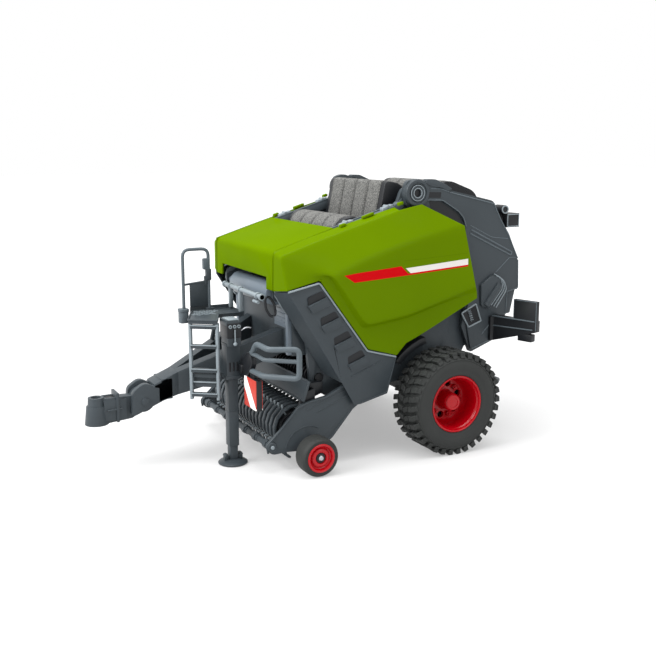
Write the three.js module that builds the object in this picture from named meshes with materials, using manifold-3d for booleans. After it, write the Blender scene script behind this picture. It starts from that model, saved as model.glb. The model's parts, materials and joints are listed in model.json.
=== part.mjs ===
// Round baler, 1:16 toy. Millimetres, +Z up, drawbar along -Y, machine's left side +X.
// Every size is measured from the main axle (Y = 0), the ground (Z = 0) and the centre plane (X = 0).
// The finished group is shifted along Y so that its own origin is the bottom centre of its box.

import * as THREE from 'three';
import { mergeVertices } from 'three/addons/utils/BufferGeometryUtils.js';
import Module from 'manifold-3d';

const wasm = await Module();
wasm.setup();

// ---------------------------------------------------------------- driving dimensions

const GAP = 0.3;                 // left between touching pieces
const RUN_GAP = 0.6;             // running clearance of pins, shafts and slides
const SIDE_X = 51;               // outer face of the fixed chamber plates
const PLATE = 3.5;               // thickness of the chamber plates
const TAIL_PLATE = 3.5;          // thickness of the tailgate plates
const COVER_GAP = 17;            // chamber plate to the outer face of cheeks and side panels
const SKIN = 1.8;                // wall of hood, side panels and cheeks
const BULGE = 5;                 // how far the side panel's middle stands out

const WHEEL_R = 36.6;
const TYRE_W = 29;
const WHEEL_GAP = 7.6;           // fixed chamber plate to the inner face of the tyre
const RIM_R = 20.3;
const AXLE_R = 3.6;
const GAUGE_R = 13.2;
const GAUGE_W = 13.8;
const GAUGE_Y = -105;
const GAUGE_RIM_R = 8.6;

const HITCH_Y = -230;            // centre of the towing eye
const EYE_R = 5.2;
const EYE_HOLE_R = 3.3;
const EYE_SKIRT_R = 7.9;         // foot of the eye's conical skirt
const HITCH_PIN_Y = -199;        // height adjuster's pivot
const ARM_REAR_Y = -108.3;       // where the drawbar meets the front beam
const ARM_APEX_Y = -174;         // where the inner faces of the two arms meet
const ARM_SLOPE = 0.36;          // how far an arm leans out for each millimetre of length
const ARM_W = 9.5;

const JACK_Y = -145.8;
const JACK_TUBE = 7;
const JACK_WALL = 0.9;
const JACK_FOOT_R = 10;

const DECK_Z = 100.6;            // top of the platform
const DECK_T = 2.4;
const LADDER_W = 20;
const LADDER_AT = [23.5, -171.9];
const LADDER_TURN = Math.atan2(15.1, 11);
const RAIL_H = 42.4;

const PIVOT_Y = -17;             // tailgate pivot
const PIVOT_Z = 181.3;
const PIVOT_R = 5.8;
const BOSS_R = 9.6;

const FRONT_Y = -123.5;          // hood's front face
const ROOF_Z = 146;
const ROOF_REAR_Y = -79;
const ROOF_REAR_Z = 159.8;
const BELT_HALF = 36;
const BELT_COUNT = 4;

const PICKUP_GAP = 10.5;         // fixed chamber plate to the pick-up's side plate
const PICKUP_WALL = 2.5;
const REEL_Y = -110;
const REEL_Z = 27;
const REEL_R = 10;
const TINE_TIP_R = 18.2;
const TINE_PITCH = 6.1;
const BAND_R = 16;
const ROTOR_Y = -90;
const ROTOR_Z = 58;
const ROTOR_R = 8.5;
const LIFT_Y = -66;              // pick-up's lift pivot
const LIFT_Z = 50;

// ---------------------------------------------------------------- worked out from them

const AXLE_Z = WHEEL_R;
const INNER_X = SIDE_X - PLATE;                       // chamber's clear half width
const TAIL_X = SIDE_X + GAP;                          // inner face of the tailgate plates
const TAIL_OUT = TAIL_X + TAIL_PLATE;
const COVER_X = SIDE_X + COVER_GAP;                   // outer face of the covers' flanges
const HOOD_HALF = SIDE_X + 1.3;
const TYRE_IN = SIDE_X + WHEEL_GAP;
const TYRE_OUT = TYRE_IN + TYRE_W;
const SIDE_IN = SIDE_X + PICKUP_GAP;                   // inner face of the pick-up's side plates
const PICKUP_HALF = SIDE_IN + PICKUP_WALL;
const TINE_COUNT = Math.floor(2 * (SIDE_IN - 6) / TINE_PITCH);
const GAUGE_OUT = PICKUP_HALF + 21;

// ---------------------------------------------------------------- materials

const paint = (color, roughness = 0.45, metalness = 0) =>
  new THREE.MeshStandardMaterial({ color, roughness, metalness });

const green = () => paint(0x94b800, 0.3);
const grey = () => paint(0x4d5457, 0.5);
const light = () => paint(0x808b90, 0.5);
const dark = () => paint(0x2c2e32, 0.55);
const red = () => paint(0xbe0c20, 0.35);
const rubber = () => paint(0x4b4d4b, 0.85);
const belting = () => paint(0x5a5a5a, 0.9);
const film = () => paint(0x8794a0, 0.4);

// ---------------------------------------------------------------- shape helpers

const X_AXIS = new THREE.Vector3(1, 0, 0);
const Y_AXIS = new THREE.Vector3(0, 1, 0);
const Z_AXIS = new THREE.Vector3(0, 0, 1);

// The points that stand for one corner: the corner itself, or an arc of the radius given with it.
function cornerPoints(points, i) {
  const [x, y, r = 0] = points[i];
  const corner = new THREE.Vector2(x, y);
  if (r === 0) return [corner];
  const towards = ([px, py]) => new THREE.Vector2(px - x, py - y).setLength(r).add(corner);
  const before = towards(points[(i + points.length - 1) % points.length]);
  const after = towards(points[(i + 1) % points.length]);
  return new THREE.QuadraticBezierCurve(before, corner, after).getPoints(4);
}

// A closed outline from points; a point with a third value is rounded with that radius.
function outline(points, holes = []) {
  const shape = new THREE.Shape(points.flatMap((_, i) => cornerPoints(points, i)));
  for (const [x, y, r] of holes) {
    shape.holes.push(new THREE.Path().absarc(x, y, r, 0, 2 * Math.PI, true));
  }
  return shape;
}

const extrude = (shape, depth) =>
  new THREE.ExtrudeGeometry(shape, { depth, bevelEnabled: false, curveSegments: 16 });

// Plates: outlines in (Y, Z), (X, Z) or (X, Y), given thickness along the third axis.
function plateX(points, x0, x1, holes = []) {
  const turn = new THREE.Matrix4().makeBasis(Y_AXIS, Z_AXIS, X_AXIS);
  return extrude(outline(points, holes), x1 - x0).applyMatrix4(turn).translate(x0, 0, 0);
}

function plateY(points, y0, y1, holes = []) {
  const turn = new THREE.Matrix4().makeBasis(X_AXIS, Z_AXIS, Y_AXIS.clone().negate());
  return extrude(outline(points, holes), y1 - y0).applyMatrix4(turn).translate(0, y1, 0);
}

function plateZ(points, z0, z1, holes = []) {
  return extrude(outline(points, holes), z1 - z0).translate(0, 0, z0);
}

// A band of a ring in the (Y, Z) plane, between two angles.
function arcBand(y, z, fromDeg, toDeg, r, thickness, steps) {
  const at = (i, radius) => {
    const angle = THREE.MathUtils.degToRad(fromDeg + (toDeg - fromDeg) * i / steps);
    return [y + radius * Math.cos(angle), z + radius * Math.sin(angle)];
  };
  const outer = Array.from({ length: steps + 1 }, (_, i) => at(i, r));
  const inner = Array.from({ length: steps + 1 }, (_, i) => at(steps - i, r - thickness));
  return [...outer, ...inner];
}

function block(x0, x1, y0, y1, z0, z1) {
  return new THREE.BoxGeometry(x1 - x0, y1 - y0, z1 - z0)
    .translate((x0 + x1) / 2, (y0 + y1) / 2, (z0 + z1) / 2);
}

// A round bar between two points.
function rod(from, to, r, sides = 16, rTop = r) {
  const a = new THREE.Vector3(...from);
  const b = new THREE.Vector3(...to);
  const along = b.clone().sub(a);
  const turn = new THREE.Quaternion().setFromUnitVectors(Y_AXIS, along.clone().normalize());
  const middle = a.add(b).multiplyScalar(0.5);
  return new THREE.CylinderGeometry(rTop, r, along.length(), sides)
    .applyQuaternion(turn).translate(middle.x, middle.y, middle.z);
}

const rodX = (x0, x1, y, z, r, sides = 20) => rod([x0, y, z], [x1, y, z], r, sides);

// A bent round tube through points, its corners rounded.
function bent(points, r, corner, sides = 8) {
  const stops = points.map((p) => new THREE.Vector3(...p));
  const path = new THREE.CurvePath();
  let last = stops[0];
  for (let i = 1; i < stops.length - 1; i++) {
    const inward = stops[i - 1].clone().sub(stops[i]).setLength(corner).add(stops[i]);
    const onward = stops[i + 1].clone().sub(stops[i]).setLength(corner).add(stops[i]);
    path.add(new THREE.LineCurve3(last, inward));
    path.add(new THREE.QuadraticBezierCurve3(inward, stops[i], onward));
    last = onward;
  }
  path.add(new THREE.LineCurve3(last, stops[stops.length - 1]));
  const ring = new THREE.Shape().absarc(0, 0, r, 0, 2 * Math.PI);
  const steps = Math.ceil(path.getLength() / (3.2 * r));
  return new THREE.ExtrudeGeometry(ring, { steps, extrudePath: path, curveSegments: sides / 2 });
}

// A turned piece about the X axis, from a closed (radius, x) profile.
function turned(profile, y, z, sides = 32) {
  const points = profile.map(([r, x]) => new THREE.Vector2(r, x));
  return new THREE.LatheGeometry(points, sides).rotateZ(-Math.PI / 2).translate(0, y, z);
}

// A thin formed wall: outer corners, the step from each to its inner corner, and outer triangles.
function formed(outer, steps, faces) {
  const count = outer.length;
  const corners = [...outer, ...outer.map((p, i) => p.map((v, k) => v + steps[i][k]))];
  const triangles = [];
  const edges = new Map();
  for (const [a, b, c] of faces) {
    triangles.push([a, b, c], [a + count, c + count, b + count]);
    for (const [from, to] of [[a, b], [b, c], [c, a]]) edges.set(`${from} ${to}`, [from, to]);
  }
  for (const [from, to] of edges.values()) {
    if (edges.has(`${to} ${from}`)) continue;
    triangles.push([to, from, from + count], [to, from + count, to + count]);
  }
  const geometry = new THREE.BufferGeometry();
  geometry.setAttribute('position', new THREE.Float32BufferAttribute(corners.flat(), 3));
  geometry.setIndex(triangles.flat());
  return geometry;
}

const mirrored = (geometry) => {
  const copy = geometry.clone().applyMatrix4(new THREE.Matrix4().makeScale(-1, 1, 1));
  const index = copy.index ? copy : mergeVertices(copy);
  const order = index.index.array;
  for (let i = 0; i < order.length; i += 3) [order[i], order[i + 1]] = [order[i + 1], order[i]];
  return index;
};

function solid(geometry) {
  const bare = geometry.clone();
  bare.deleteAttribute('normal');
  bare.deleteAttribute('uv');
  const merged = mergeVertices(bare, 1e-4);
  return new wasm.Manifold(new wasm.Mesh({
    numProp: 3,
    vertProperties: new Float32Array(merged.attributes.position.array),
    triVerts: new Uint32Array(merged.index.array),
  }));
}

function surface(manifold) {
  const mesh = manifold.getMesh();
  const geometry = new THREE.BufferGeometry();
  geometry.setAttribute('position', new THREE.Float32BufferAttribute(mesh.vertProperties, 3));
  geometry.setIndex(new THREE.Uint32BufferAttribute(mesh.triVerts, 1));
  return geometry;
}

const join = (...pieces) => surface(pieces.map(solid).reduce((all, next) => all.add(next)));
const cut = (piece, ...tools) =>
  surface(tools.map(solid).reduce((left, tool) => left.subtract(tool), solid(piece)));

// ---------------------------------------------------------------- the assembly

const group = new THREE.Group();

function add(name, geometry, material) {
  const mesh = new THREE.Mesh(geometry, material);
  mesh.name = name;
  group.add(mesh);
}

// One piece made for the left side and its mirror image for the right.
function addPair(name, geometry, material) {
  add(`${name}_left`, geometry, material());
  add(`${name}_right`, mirrored(geometry), material());
}

// ---------------------------------------------------------------- chamber and chassis

const CHAMBER_Y = 20;
const CHAMBER_Z = 118;
const CHAMBER_R = 50;
const HUB_PLATE_R = 10;

// Fixed side plate with the tailgate's pivot pin, the axle's lug and the bosses of the cheek.
const CHEEK_BOSSES = [[-87.5, 104], [-80, 76], [-54, 60]];
const fixedPlate = [
  [-110, 139], [-78, 155], [-32, 168], [-26, 184, 3], [-12, 189, 5], [-6, 176, 4], [-4, 150, 8], [14, 120, 8],
  [34, 104], [34, 76], [24, 60], [HUB_PLATE_R, AXLE_Z, 4], [HUB_PLATE_R, AXLE_Z - HUB_PLATE_R, 4],
  [-HUB_PLATE_R, AXLE_Z - HUB_PLATE_R, 4], [-HUB_PLATE_R, AXLE_Z, 4], [-20, 50], [-56, 45], [-84, 45],
  [-96, 50, 5], [-100, 92],
];
const pivotPin = turned([
  [0, SIDE_X - 1], [PIVOT_R, SIDE_X - 1], [PIVOT_R, TAIL_OUT + 1.6], [PIVOT_R - 1.4, TAIL_OUT + 1.6],
  [PIVOT_R - 1.4, TAIL_OUT + 1], [2.7, TAIL_OUT + 1], [2.7, SIDE_X], [0, SIDE_X],
], PIVOT_Y, PIVOT_Z, 24);
const sidePlate = cut(
  join(
    plateX(fixedPlate, INNER_X, SIDE_X),
    pivotPin,
    ...CHEEK_BOSSES.map(([y, z]) => rodX(SIDE_X - 1, COVER_X - SKIN - GAP, y, z, 2.6, 10)),
  ),
  rodX(INNER_X - 1, SIDE_X + 1, 0, AXLE_Z, AXLE_R + GAP),
  rodX(INNER_X - 1, SIDE_X + 1, ROTOR_Y, ROTOR_Z, 3 + RUN_GAP, 16),
  rodX(INNER_X - 1, SIDE_X + 1, LIFT_Y, LIFT_Z, 2.5 + GAP, 16),
);
addPair('side_plate', sidePlate, grey);

// Curved front wall and floor of the bale chamber, between the side plates.
const CHAMBER_T = 2.6;
const chamberWall = (fromDeg, toDeg) => plateX(
  arcBand(CHAMBER_Y, CHAMBER_Z, fromDeg, toDeg, CHAMBER_R + CHAMBER_T, CHAMBER_T, 14),
  -INNER_X + GAP, INNER_X - GAP,
);
add('chamber_front', chamberWall(131, 208), belting());
add('chamber_floor', chamberWall(236, 268), grey());

// Axle through the lugs of both side plates, with a shoulder against each hub.
const axle = join(
  rodX(-TYRE_OUT + 7, TYRE_OUT - 7, 0, AXLE_Z, AXLE_R),
  block(-INNER_X + GAP, INNER_X - GAP, -5, 5, AXLE_Z - 5, AXLE_Z + 5),
  rodX(SIDE_X + GAP, TYRE_IN + 3, 0, AXLE_Z, 6.5),
  rodX(-TYRE_IN - 3, -SIDE_X - GAP, 0, AXLE_Z, 6.5),
);
add('axle', axle, dark());

// Inner mudguard in front of each main wheel.
const FENDER_GAP = 4;
const FENDER_T = 5;
const FENDER_R = WHEEL_R + FENDER_GAP + FENDER_T;
const fender = plateX(arcBand(0, AXLE_Z, 104, 140, FENDER_R, FENDER_T, 5), SIDE_X + GAP, COVER_X - SKIN - 5);
addPair('inner_fender', fender, dark);

// Front wall under the hood, its box beam for the drawbar, and the lugs that hold the net roll.
const WALL_Y = -105;
const BEAM_LOW = 74;
const BEAM_HIGH = 91;
const ROLL_Y = -116;
const ROLL_Z = 116;
const ROLL_R = 8;
const ROLL_HALF = 41;
const LUG_T = 2;
const lug = plateX([
  [WALL_Y - 2, ROLL_Z - 7], [WALL_Y - 2, ROLL_Z + 9],
  [ROLL_Y - 4, ROLL_Z + 4, 2], [ROLL_Y - 4, ROLL_Z - 4, 2],
], ROLL_HALF + GAP, ROLL_HALF + GAP + LUG_T);
add('front_wall', join(
  block(-INNER_X + GAP, INNER_X - GAP, WALL_Y - 3, WALL_Y, BEAM_LOW, 137),
  block(-INNER_X + GAP, INNER_X - GAP, WALL_Y - 3, WALL_Y + 7, BEAM_LOW, BEAM_HIGH),
  lug,
  mirrored(lug),
), grey());

// Net roll between its lugs.
add('net_roll', turned([
  [0, -ROLL_HALF], [ROLL_R - 0.6, -ROLL_HALF], [ROLL_R, -ROLL_HALF + 0.6], [ROLL_R, ROLL_HALF - 0.6],
  [ROLL_R - 0.6, ROLL_HALF], [0, ROLL_HALF],
], ROLL_Y, ROLL_Z, 24), film());

// Floor of the crop channel from the feed rotor to the chamber.
add('feed_floor', plateX(
  [[-79, 53.4], [-56, 53.8], [-30, 58], [-9, 71.5], [-11, 74], [-31, 60.5], [-57, 56.2], [-79, 55.8]],
  -INNER_X + GAP, INNER_X - GAP,
), grey());

// ---------------------------------------------------------------- covers

const NOTCH_HALF = 41.5;
const NOTCH_Z = 128;
const HOOD_FOOT_Z = 120;
const hood = cut(
  plateX([
    [FRONT_Y - 0.4, HOOD_FOOT_Z], [FRONT_Y + SKIN - 0.4, HOOD_FOOT_Z],
    [FRONT_Y + SKIN, ROOF_Z - 3.2, 1.5], [ROOF_REAR_Y, ROOF_REAR_Z - SKIN], [ROOF_REAR_Y, ROOF_REAR_Z],
    [FRONT_Y, ROOF_Z, 4],
  ], -HOOD_HALF, HOOD_HALF),
  block(-NOTCH_HALF, NOTCH_HALF, FRONT_Y - 3, FRONT_Y + 6, HOOD_FOOT_Z - 2, NOTCH_Z),
);
add('hood', hood, green());

// Side panel, hinged along its top edge: corners as (x, y, z), then the step to the inner face.
const ARCH_GAP = 6.4;
const archZ = 2 * WHEEL_R + ARCH_GAP;
const panelCorners = {
  topFront: [[HOOD_HALF + GAP, FRONT_Y, ROOF_Z], [0, 1.2, -SKIN]],
  topMiddle: [[HOOD_HALF + GAP, ROOF_REAR_Y - 3, ROOF_REAR_Z - 0.9], [0, 0, -SKIN]],
  topRear: [[HOOD_HALF + 3.5, -35, 173], [0, 0, -SKIN]],
  chamferFront: [[COVER_X - 8, FRONT_Y + 1.5, ROOF_Z - 2.4], [-SKIN, 0.8, -1]],
  chamferMiddle: [[COVER_X - 7, ROOF_REAR_Y - 7, ROOF_REAR_Z - 3.4], [-SKIN, 0, -1]],
  chamferRear: [[COVER_X - 6, -35, 171.6], [-SKIN, 0, -1]],
  peak: [[COVER_X - 6, -18.2, 174.2], [-SKIN, 0, 0]],
  rearTop: [[COVER_X - 1, 14.9, 159], [-SKIN, 0, 0]],
  frontFootIn: [[HOOD_HALF + GAP, FRONT_Y - 0.4, HOOD_FOOT_Z], [0, SKIN, 0]],
  frontFootOut: [[COVER_X - 2, FRONT_Y + 3.5, HOOD_FOOT_Z + 1.6], [-SKIN, 0.8, 0]],
  kink: [[COVER_X, -97.6, 127.5], [-SKIN, 0, 0]],
  lowFront: [[COVER_X, -61.2, 78.4], [-SKIN, 0, 0]],
  lowRear: [[COVER_X, -38.6, 71.8], [-SKIN, 0, 0]],
  archFront: [[COVER_X, -31, archZ], [-SKIN, 0, 0]],
  archRear: [[COVER_X, -17.9, archZ + 5.2], [-SKIN, 0, 0]],
  rearLow: [[COVER_X, 27.7, archZ + 27], [-SKIN, 0, 0]],
  rearKink: [[COVER_X + 2, 26.4, 115.7], [-SKIN, 0, 0]],
  bulgeTop: [[COVER_X + BULGE, -84, 130.5], [-SKIN, 0, 0]],
  bulgeLow: [[COVER_X + BULGE, -62.5, 95.5], [-SKIN, 0, 0]],
};
const panelFaces = [
  ['topFront', 'chamferFront', 'chamferMiddle'], ['topFront', 'chamferMiddle', 'topMiddle'],
  ['topMiddle', 'chamferMiddle', 'chamferRear'], ['topMiddle', 'chamferRear', 'topRear'],
  ['topFront', 'frontFootIn', 'frontFootOut'], ['topFront', 'frontFootOut', 'chamferFront'],
  ['chamferFront', 'frontFootOut', 'bulgeTop'], ['frontFootOut', 'kink', 'bulgeTop'],
  ['chamferFront', 'bulgeTop', 'chamferMiddle'], ['chamferMiddle', 'bulgeTop', 'chamferRear'],
  ['chamferRear', 'bulgeTop', 'rearTop'], ['chamferRear', 'rearTop', 'peak'],
  ['kink', 'lowFront', 'bulgeLow'], ['kink', 'bulgeLow', 'bulgeTop'],
  ['bulgeTop', 'bulgeLow', 'rearKink'], ['bulgeTop', 'rearKink', 'rearTop'],
  ['bulgeLow', 'lowFront', 'lowRear'], ['bulgeLow', 'lowRear', 'archFront'],
  ['bulgeLow', 'archFront', 'archRear'], ['bulgeLow', 'archRear', 'rearLow'],
  ['bulgeLow', 'rearLow', 'rearKink'],
];
function formedFrom(corners, faces) {
  const names = Object.keys(corners);
  return formed(
    names.map((name) => corners[name][0]),
    names.map((name) => corners[name][1]),
    faces.map((face) => face.map((name) => names.indexOf(name))),
  );
}
addPair('side_panel', formedFrom(panelCorners, panelFaces), green);

// Louvred cheek between the side panel and the pick-up, with its front chamfer.
const LOUVRE_OUT = 1.4;
const cheekCorners = {
  topIn: [[HOOD_HALF + 1, FRONT_Y - 0.4, HOOD_FOOT_Z - 1], [0, SKIN, 0]],
  topOut: [[COVER_X - 2, FRONT_Y + 4.2, HOOD_FOOT_Z + 0.8], [-SKIN, 0.8, 0]],
  kink: [[COVER_X, -97.9, 126.4], [-SKIN, 0, 0]],
  lowFront: [[COVER_X, -61.9, 77.6], [-SKIN, 0, 0]],
  lowRear: [[COVER_X, -38.6, 70.9], [-SKIN, 0, 0]],
  heelTop: [[COVER_X, -45.7, 45.7], [-SKIN, 0, 0]],
  heelLow: [[COVER_X, -66.5, 40.8], [-SKIN, 0, 0]],
  tipOut: [[COVER_X, -71.5, 40.5], [-SKIN, 0.8, 0]],
  tipIn: [[HOOD_HALF + 1, -87.5, 61], [0, SKIN, 0]],
  frontOut: [[COVER_X, -81.2, 57.2], [-SKIN, 0.8, 0]],
};
const cheekFaces = [
  ['topIn', 'tipIn', 'frontOut'], ['topIn', 'frontOut', 'topOut'],
  ['topOut', 'frontOut', 'kink'], ['kink', 'frontOut', 'lowFront'],
  ['frontOut', 'tipOut', 'lowFront'], ['tipOut', 'heelLow', 'lowFront'],
  ['heelLow', 'heelTop', 'lowFront'], ['heelTop', 'lowRear', 'lowFront'],
];
const LOUVRES = [[-99.4, 112.2], [-90, 98], [-80.5, 84], [-70, 70]];
const LOUVRE_HALF = 6.5;
const louvres = LOUVRES.map(([y, z]) => plateX([
  [y - LOUVRE_HALF, z - 2.2], [y + LOUVRE_HALF, z + 2.4],
  [y + LOUVRE_HALF, z + 4], [y - LOUVRE_HALF, z - 0.6],
], COVER_X - 1, COVER_X + LOUVRE_OUT));
addPair('cheek', join(formedFrom(cheekCorners, cheekFaces), ...louvres), grey);

// ---------------------------------------------------------------- belts and roof frame

const BELT_T = 2.2;
const BELT_SLOT = 0.9;
// A belt loop seen from the side, cut into ribbons that stay joined below.
function beltLoop(points, floorZ) {
  const pitch = 2 * BELT_HALF / BELT_COUNT;
  const slots = [];
  for (let i = 1; i < BELT_COUNT; i++) {
    const x = -BELT_HALF + i * pitch;
    slots.push(block(x - BELT_SLOT / 2, x + BELT_SLOT / 2, -200, 200, floorZ + BELT_T, 260));
  }
  return cut(plateX(points, -BELT_HALF, BELT_HALF), ...slots);
}
const beltBed = [
  [-77, 147.5], [-77, 150], [-57, 152], [-38, 160],
  [-8, 162], [-8, 159.5], [-37, 157.5], [-56, 149.5],
];
add('belt_bed', plateX(beltBed, -INNER_X + GAP, INNER_X - GAP), dark());
add('belt_front', beltLoop([
  [-71, 150.6 + GAP], [-57, 152 + GAP], [-50.5, 154.74 + GAP],
  [-49.5, 161, 3], [-56, 166.4, 4], [-66, 165, 4], [-71.6, 158, 3],
], 154.5), belting());
add('belt_middle', beltLoop([
  [-39.5, 159.4 + GAP], [-38, 160 + GAP], [-9, 161.95 + GAP],
  [-11, 176, 4], [-22, 187.5, 4], [-33.5, 189.5, 2.5],
], 163), belting());

// Rails beside the belts, with the pads under the side panels' hinges.
const HINGE_X = SIDE_X + 3.5;
const hingeZ = (y) => ROOF_Z + (y - FRONT_Y) * 0.305;
const RAIL_TOP_DROP = 4.4;
const HINGE_PADS = [-70, -42];
const PAD_HALF = 4;
const alongHinge = (from, to, low, high) => [
  [from, hingeZ(from) + low], [from, hingeZ(from) + high],
  [to, hingeZ(to) + high], [to, hingeZ(to) + low],
];
const roofRail = join(
  plateX(alongHinge(-78, -31, -RAIL_TOP_DROP - 8, -RAIL_TOP_DROP), SIDE_X + GAP, SIDE_X + 2.8),
  ...HINGE_PADS.map((y) => plateX(
    alongHinge(y - PAD_HALF, y + PAD_HALF, -RAIL_TOP_DROP - 2, -2.4), SIDE_X + GAP, SIDE_X + 4.6,
  )),
);
addPair('roof_rail', roofRail, dark);

// ---------------------------------------------------------------- tailgate

const tailOutline = [
  [-26, 181, 3], [-25, 190, 4], [-10, 190, 3], [-6, 186.4, 3], [8.4, 183.4],
  [49.3, 174.1, 3], [56.1, 161.5], [64.3, 149.5], [72.7, 131.7, 3], [74.3, 108, 2],
  [64, 107.9], [63.6, 90], [53.3, 71.8, 2], [32.1, 64.1, 2], [24, 84],
  [28, 104], [8, 124], [-3, 146], [-8, 170, 4], [-25, 172, 4],
];
const tailPlate = cut(
  join(
    plateX(tailOutline, TAIL_X, TAIL_OUT),
    rodX(TAIL_X, TAIL_OUT + 1.5, PIVOT_Y, PIVOT_Z, BOSS_R, 24),
  ),
  rodX(TAIL_X - 1, TAIL_OUT + 3, PIVOT_Y, PIVOT_Z, PIVOT_R + GAP, 24),
);
addPair('tailgate_side', tailPlate, grey);

// Curved rear wall between the tailgate's side plates.
add('tailgate_wall', plateX([
  [46, 168], [47.6, 170.4], [54.6, 160.2], [62.6, 148.4], [70.8, 131.4], [72.2, 109.2],
  [62.6, 89], [51.6, 73.6], [36.6, 66.2], [35.6, 68.4], [49.6, 75.4], [60.2, 90.4],
  [69.6, 109.8], [68.4, 130.6], [60.4, 147], [52.6, 158.6],
], -SIDE_X, SIDE_X), grey());

// Bed and loop of the rear belts.
add('tailgate_bed', plateX(
  [[8, 168], [8, 170.6], [44, 169.4], [44, 166.8]], -SIDE_X, SIDE_X,
), dark());
add('belt_rear', beltLoop([
  [10, 170.55 + GAP], [44, 169.4 + GAP], [46, 175, 3], [42, 180, 3], [20, 188.5, 4], [12, 186.5, 4],
], 173), belting());

// Light bracket that reaches out from the tailgate to the machine's full width.
const BRACKET_LEN = 37.5;
const bracketTurn = new THREE.Matrix4().makeRotationZ(Math.atan2(0.3, 0.954));
const bracket = join(
  plateY([[0, 71.8], [BRACKET_LEN * 0.6, 78], [BRACKET_LEN, 82.7], [BRACKET_LEN, 90.8], [0, 90.8]], -3, 3),
  block(BRACKET_LEN * 0.5, BRACKET_LEN + 1, -3, 0, 83.5, 105),
).applyMatrix4(bracketTurn).translate(TAIL_OUT + GAP + 1, 52, 0);
const bracketFoot = block(TAIL_OUT + GAP, TAIL_OUT + 4, 47, 57, 72.5, 90);
addPair('light_bracket', join(bracket, bracketFoot), dark);

// Lamps at the tailgate's upper rear corners, on a foot that follows the rear wall's slope.
const lamp = join(
  block(SIDE_X - 9, TAIL_OUT, 61.6, 73, 154.5, 164.5),
  plateX([[55.8, 159.1], [59.5, 153.6], [63, 156], [63, 162]], SIDE_X - 8, SIDE_X - 1),
  rodX(SIDE_X - 7, TAIL_OUT - 1, 60.5, 167.5, 3.2, 12),
  block(SIDE_X - 7, SIDE_X - 2, 57.5, 63, 158, 168),
);
addPair('rear_lamp', lamp, dark);

// ---------------------------------------------------------------- drawbar, jack and hitch

const lean = new THREE.Matrix4().set(
  1, ARM_SLOPE, 0, -ARM_SLOPE * ARM_APEX_Y,
  0, 1, 0, 0,
  0, 0, 1, 0,
  0, 0, 0, 1,
);
const arm = plateX([
  [-194, 55], [-150, 73.3], [ARM_REAR_Y, 90.6], [ARM_REAR_Y, BEAM_LOW], [-153, 53.6], [-185, 44], [-194, 38],
], 0, ARM_W).applyMatrix4(lean);
const TONGUE_R = 8.5;
const YOKE_OUT = 9;
const TONGUE_HALF = 4;
const PIN_Z = 44.5;
const HITCH_PIN_R = 2.6;
const ear = plateX([
  [-208.2, 36.2, 1], [-207.4, 51.8, 3], [-198.8, 57.6, 4], [-193, 54.4], [-184, 57.5], [-184, 44.4],
  [-187, 43.5], [-206, 35.6, 1],
], TONGUE_HALF + GAP, YOKE_OUT);
const yokeBlock = block(-YOKE_OUT, YOKE_OUT, -187.5, -180, 44.5, 58.5);
const drawbar = join(
  cut(join(arm, mirrored(arm)), block(-30, 30, -240, -186, 20, 80)),
  yokeBlock,
  ear,
  mirrored(ear),
  rodX(-YOKE_OUT - 1.5, YOKE_OUT + 1.5, HITCH_PIN_Y, PIN_Z, HITCH_PIN_R, 14),
);
add('drawbar', drawbar, grey());

// Towing eye on its tongue, set between the yoke's ears.
const HEAD_TOP = 49.2;
const HEAD_LOW = 31;
const COLLAR_Z = 43.5;
const eyeProfile = [
  [0, HEAD_LOW], [EYE_SKIRT_R, HEAD_LOW], [EYE_R + 1.3, COLLAR_Z], [EYE_R + 0.4, COLLAR_Z],
  [EYE_R, HEAD_TOP], [0, HEAD_TOP],
].map(([r, z]) => new THREE.Vector2(r, z));
const eye = new THREE.LatheGeometry(eyeProfile, 28).rotateX(Math.PI / 2);
const hitchHead = cut(
  join(
    eye.translate(0, HITCH_Y, 0),
    plateX([
      [HITCH_Y + 2, 31], [-207, 33], [-196, 39], [-199, 48], [-212, 48.6], [HITCH_Y + 3, 48.2],
    ], -TONGUE_HALF, TONGUE_HALF),
    block(-5.5, 5.5, HITCH_Y + 4, -211, 33.5, 47.5),
    block(-6.4, 6.4, -217.8, -216.2, 32, 51.5),
    rodX(-TONGUE_HALF, TONGUE_HALF, HITCH_PIN_Y, PIN_Z, TONGUE_R, 24),
  ),
  rod([0, HITCH_Y, 20], [0, HITCH_Y, 60], EYE_HOLE_R, 20),
  rodX(-TONGUE_HALF - 1, TONGUE_HALF + 1, HITCH_PIN_Y, PIN_Z, HITCH_PIN_R + GAP, 14),
);
add('hitch_head', hitchHead, grey());

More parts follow.
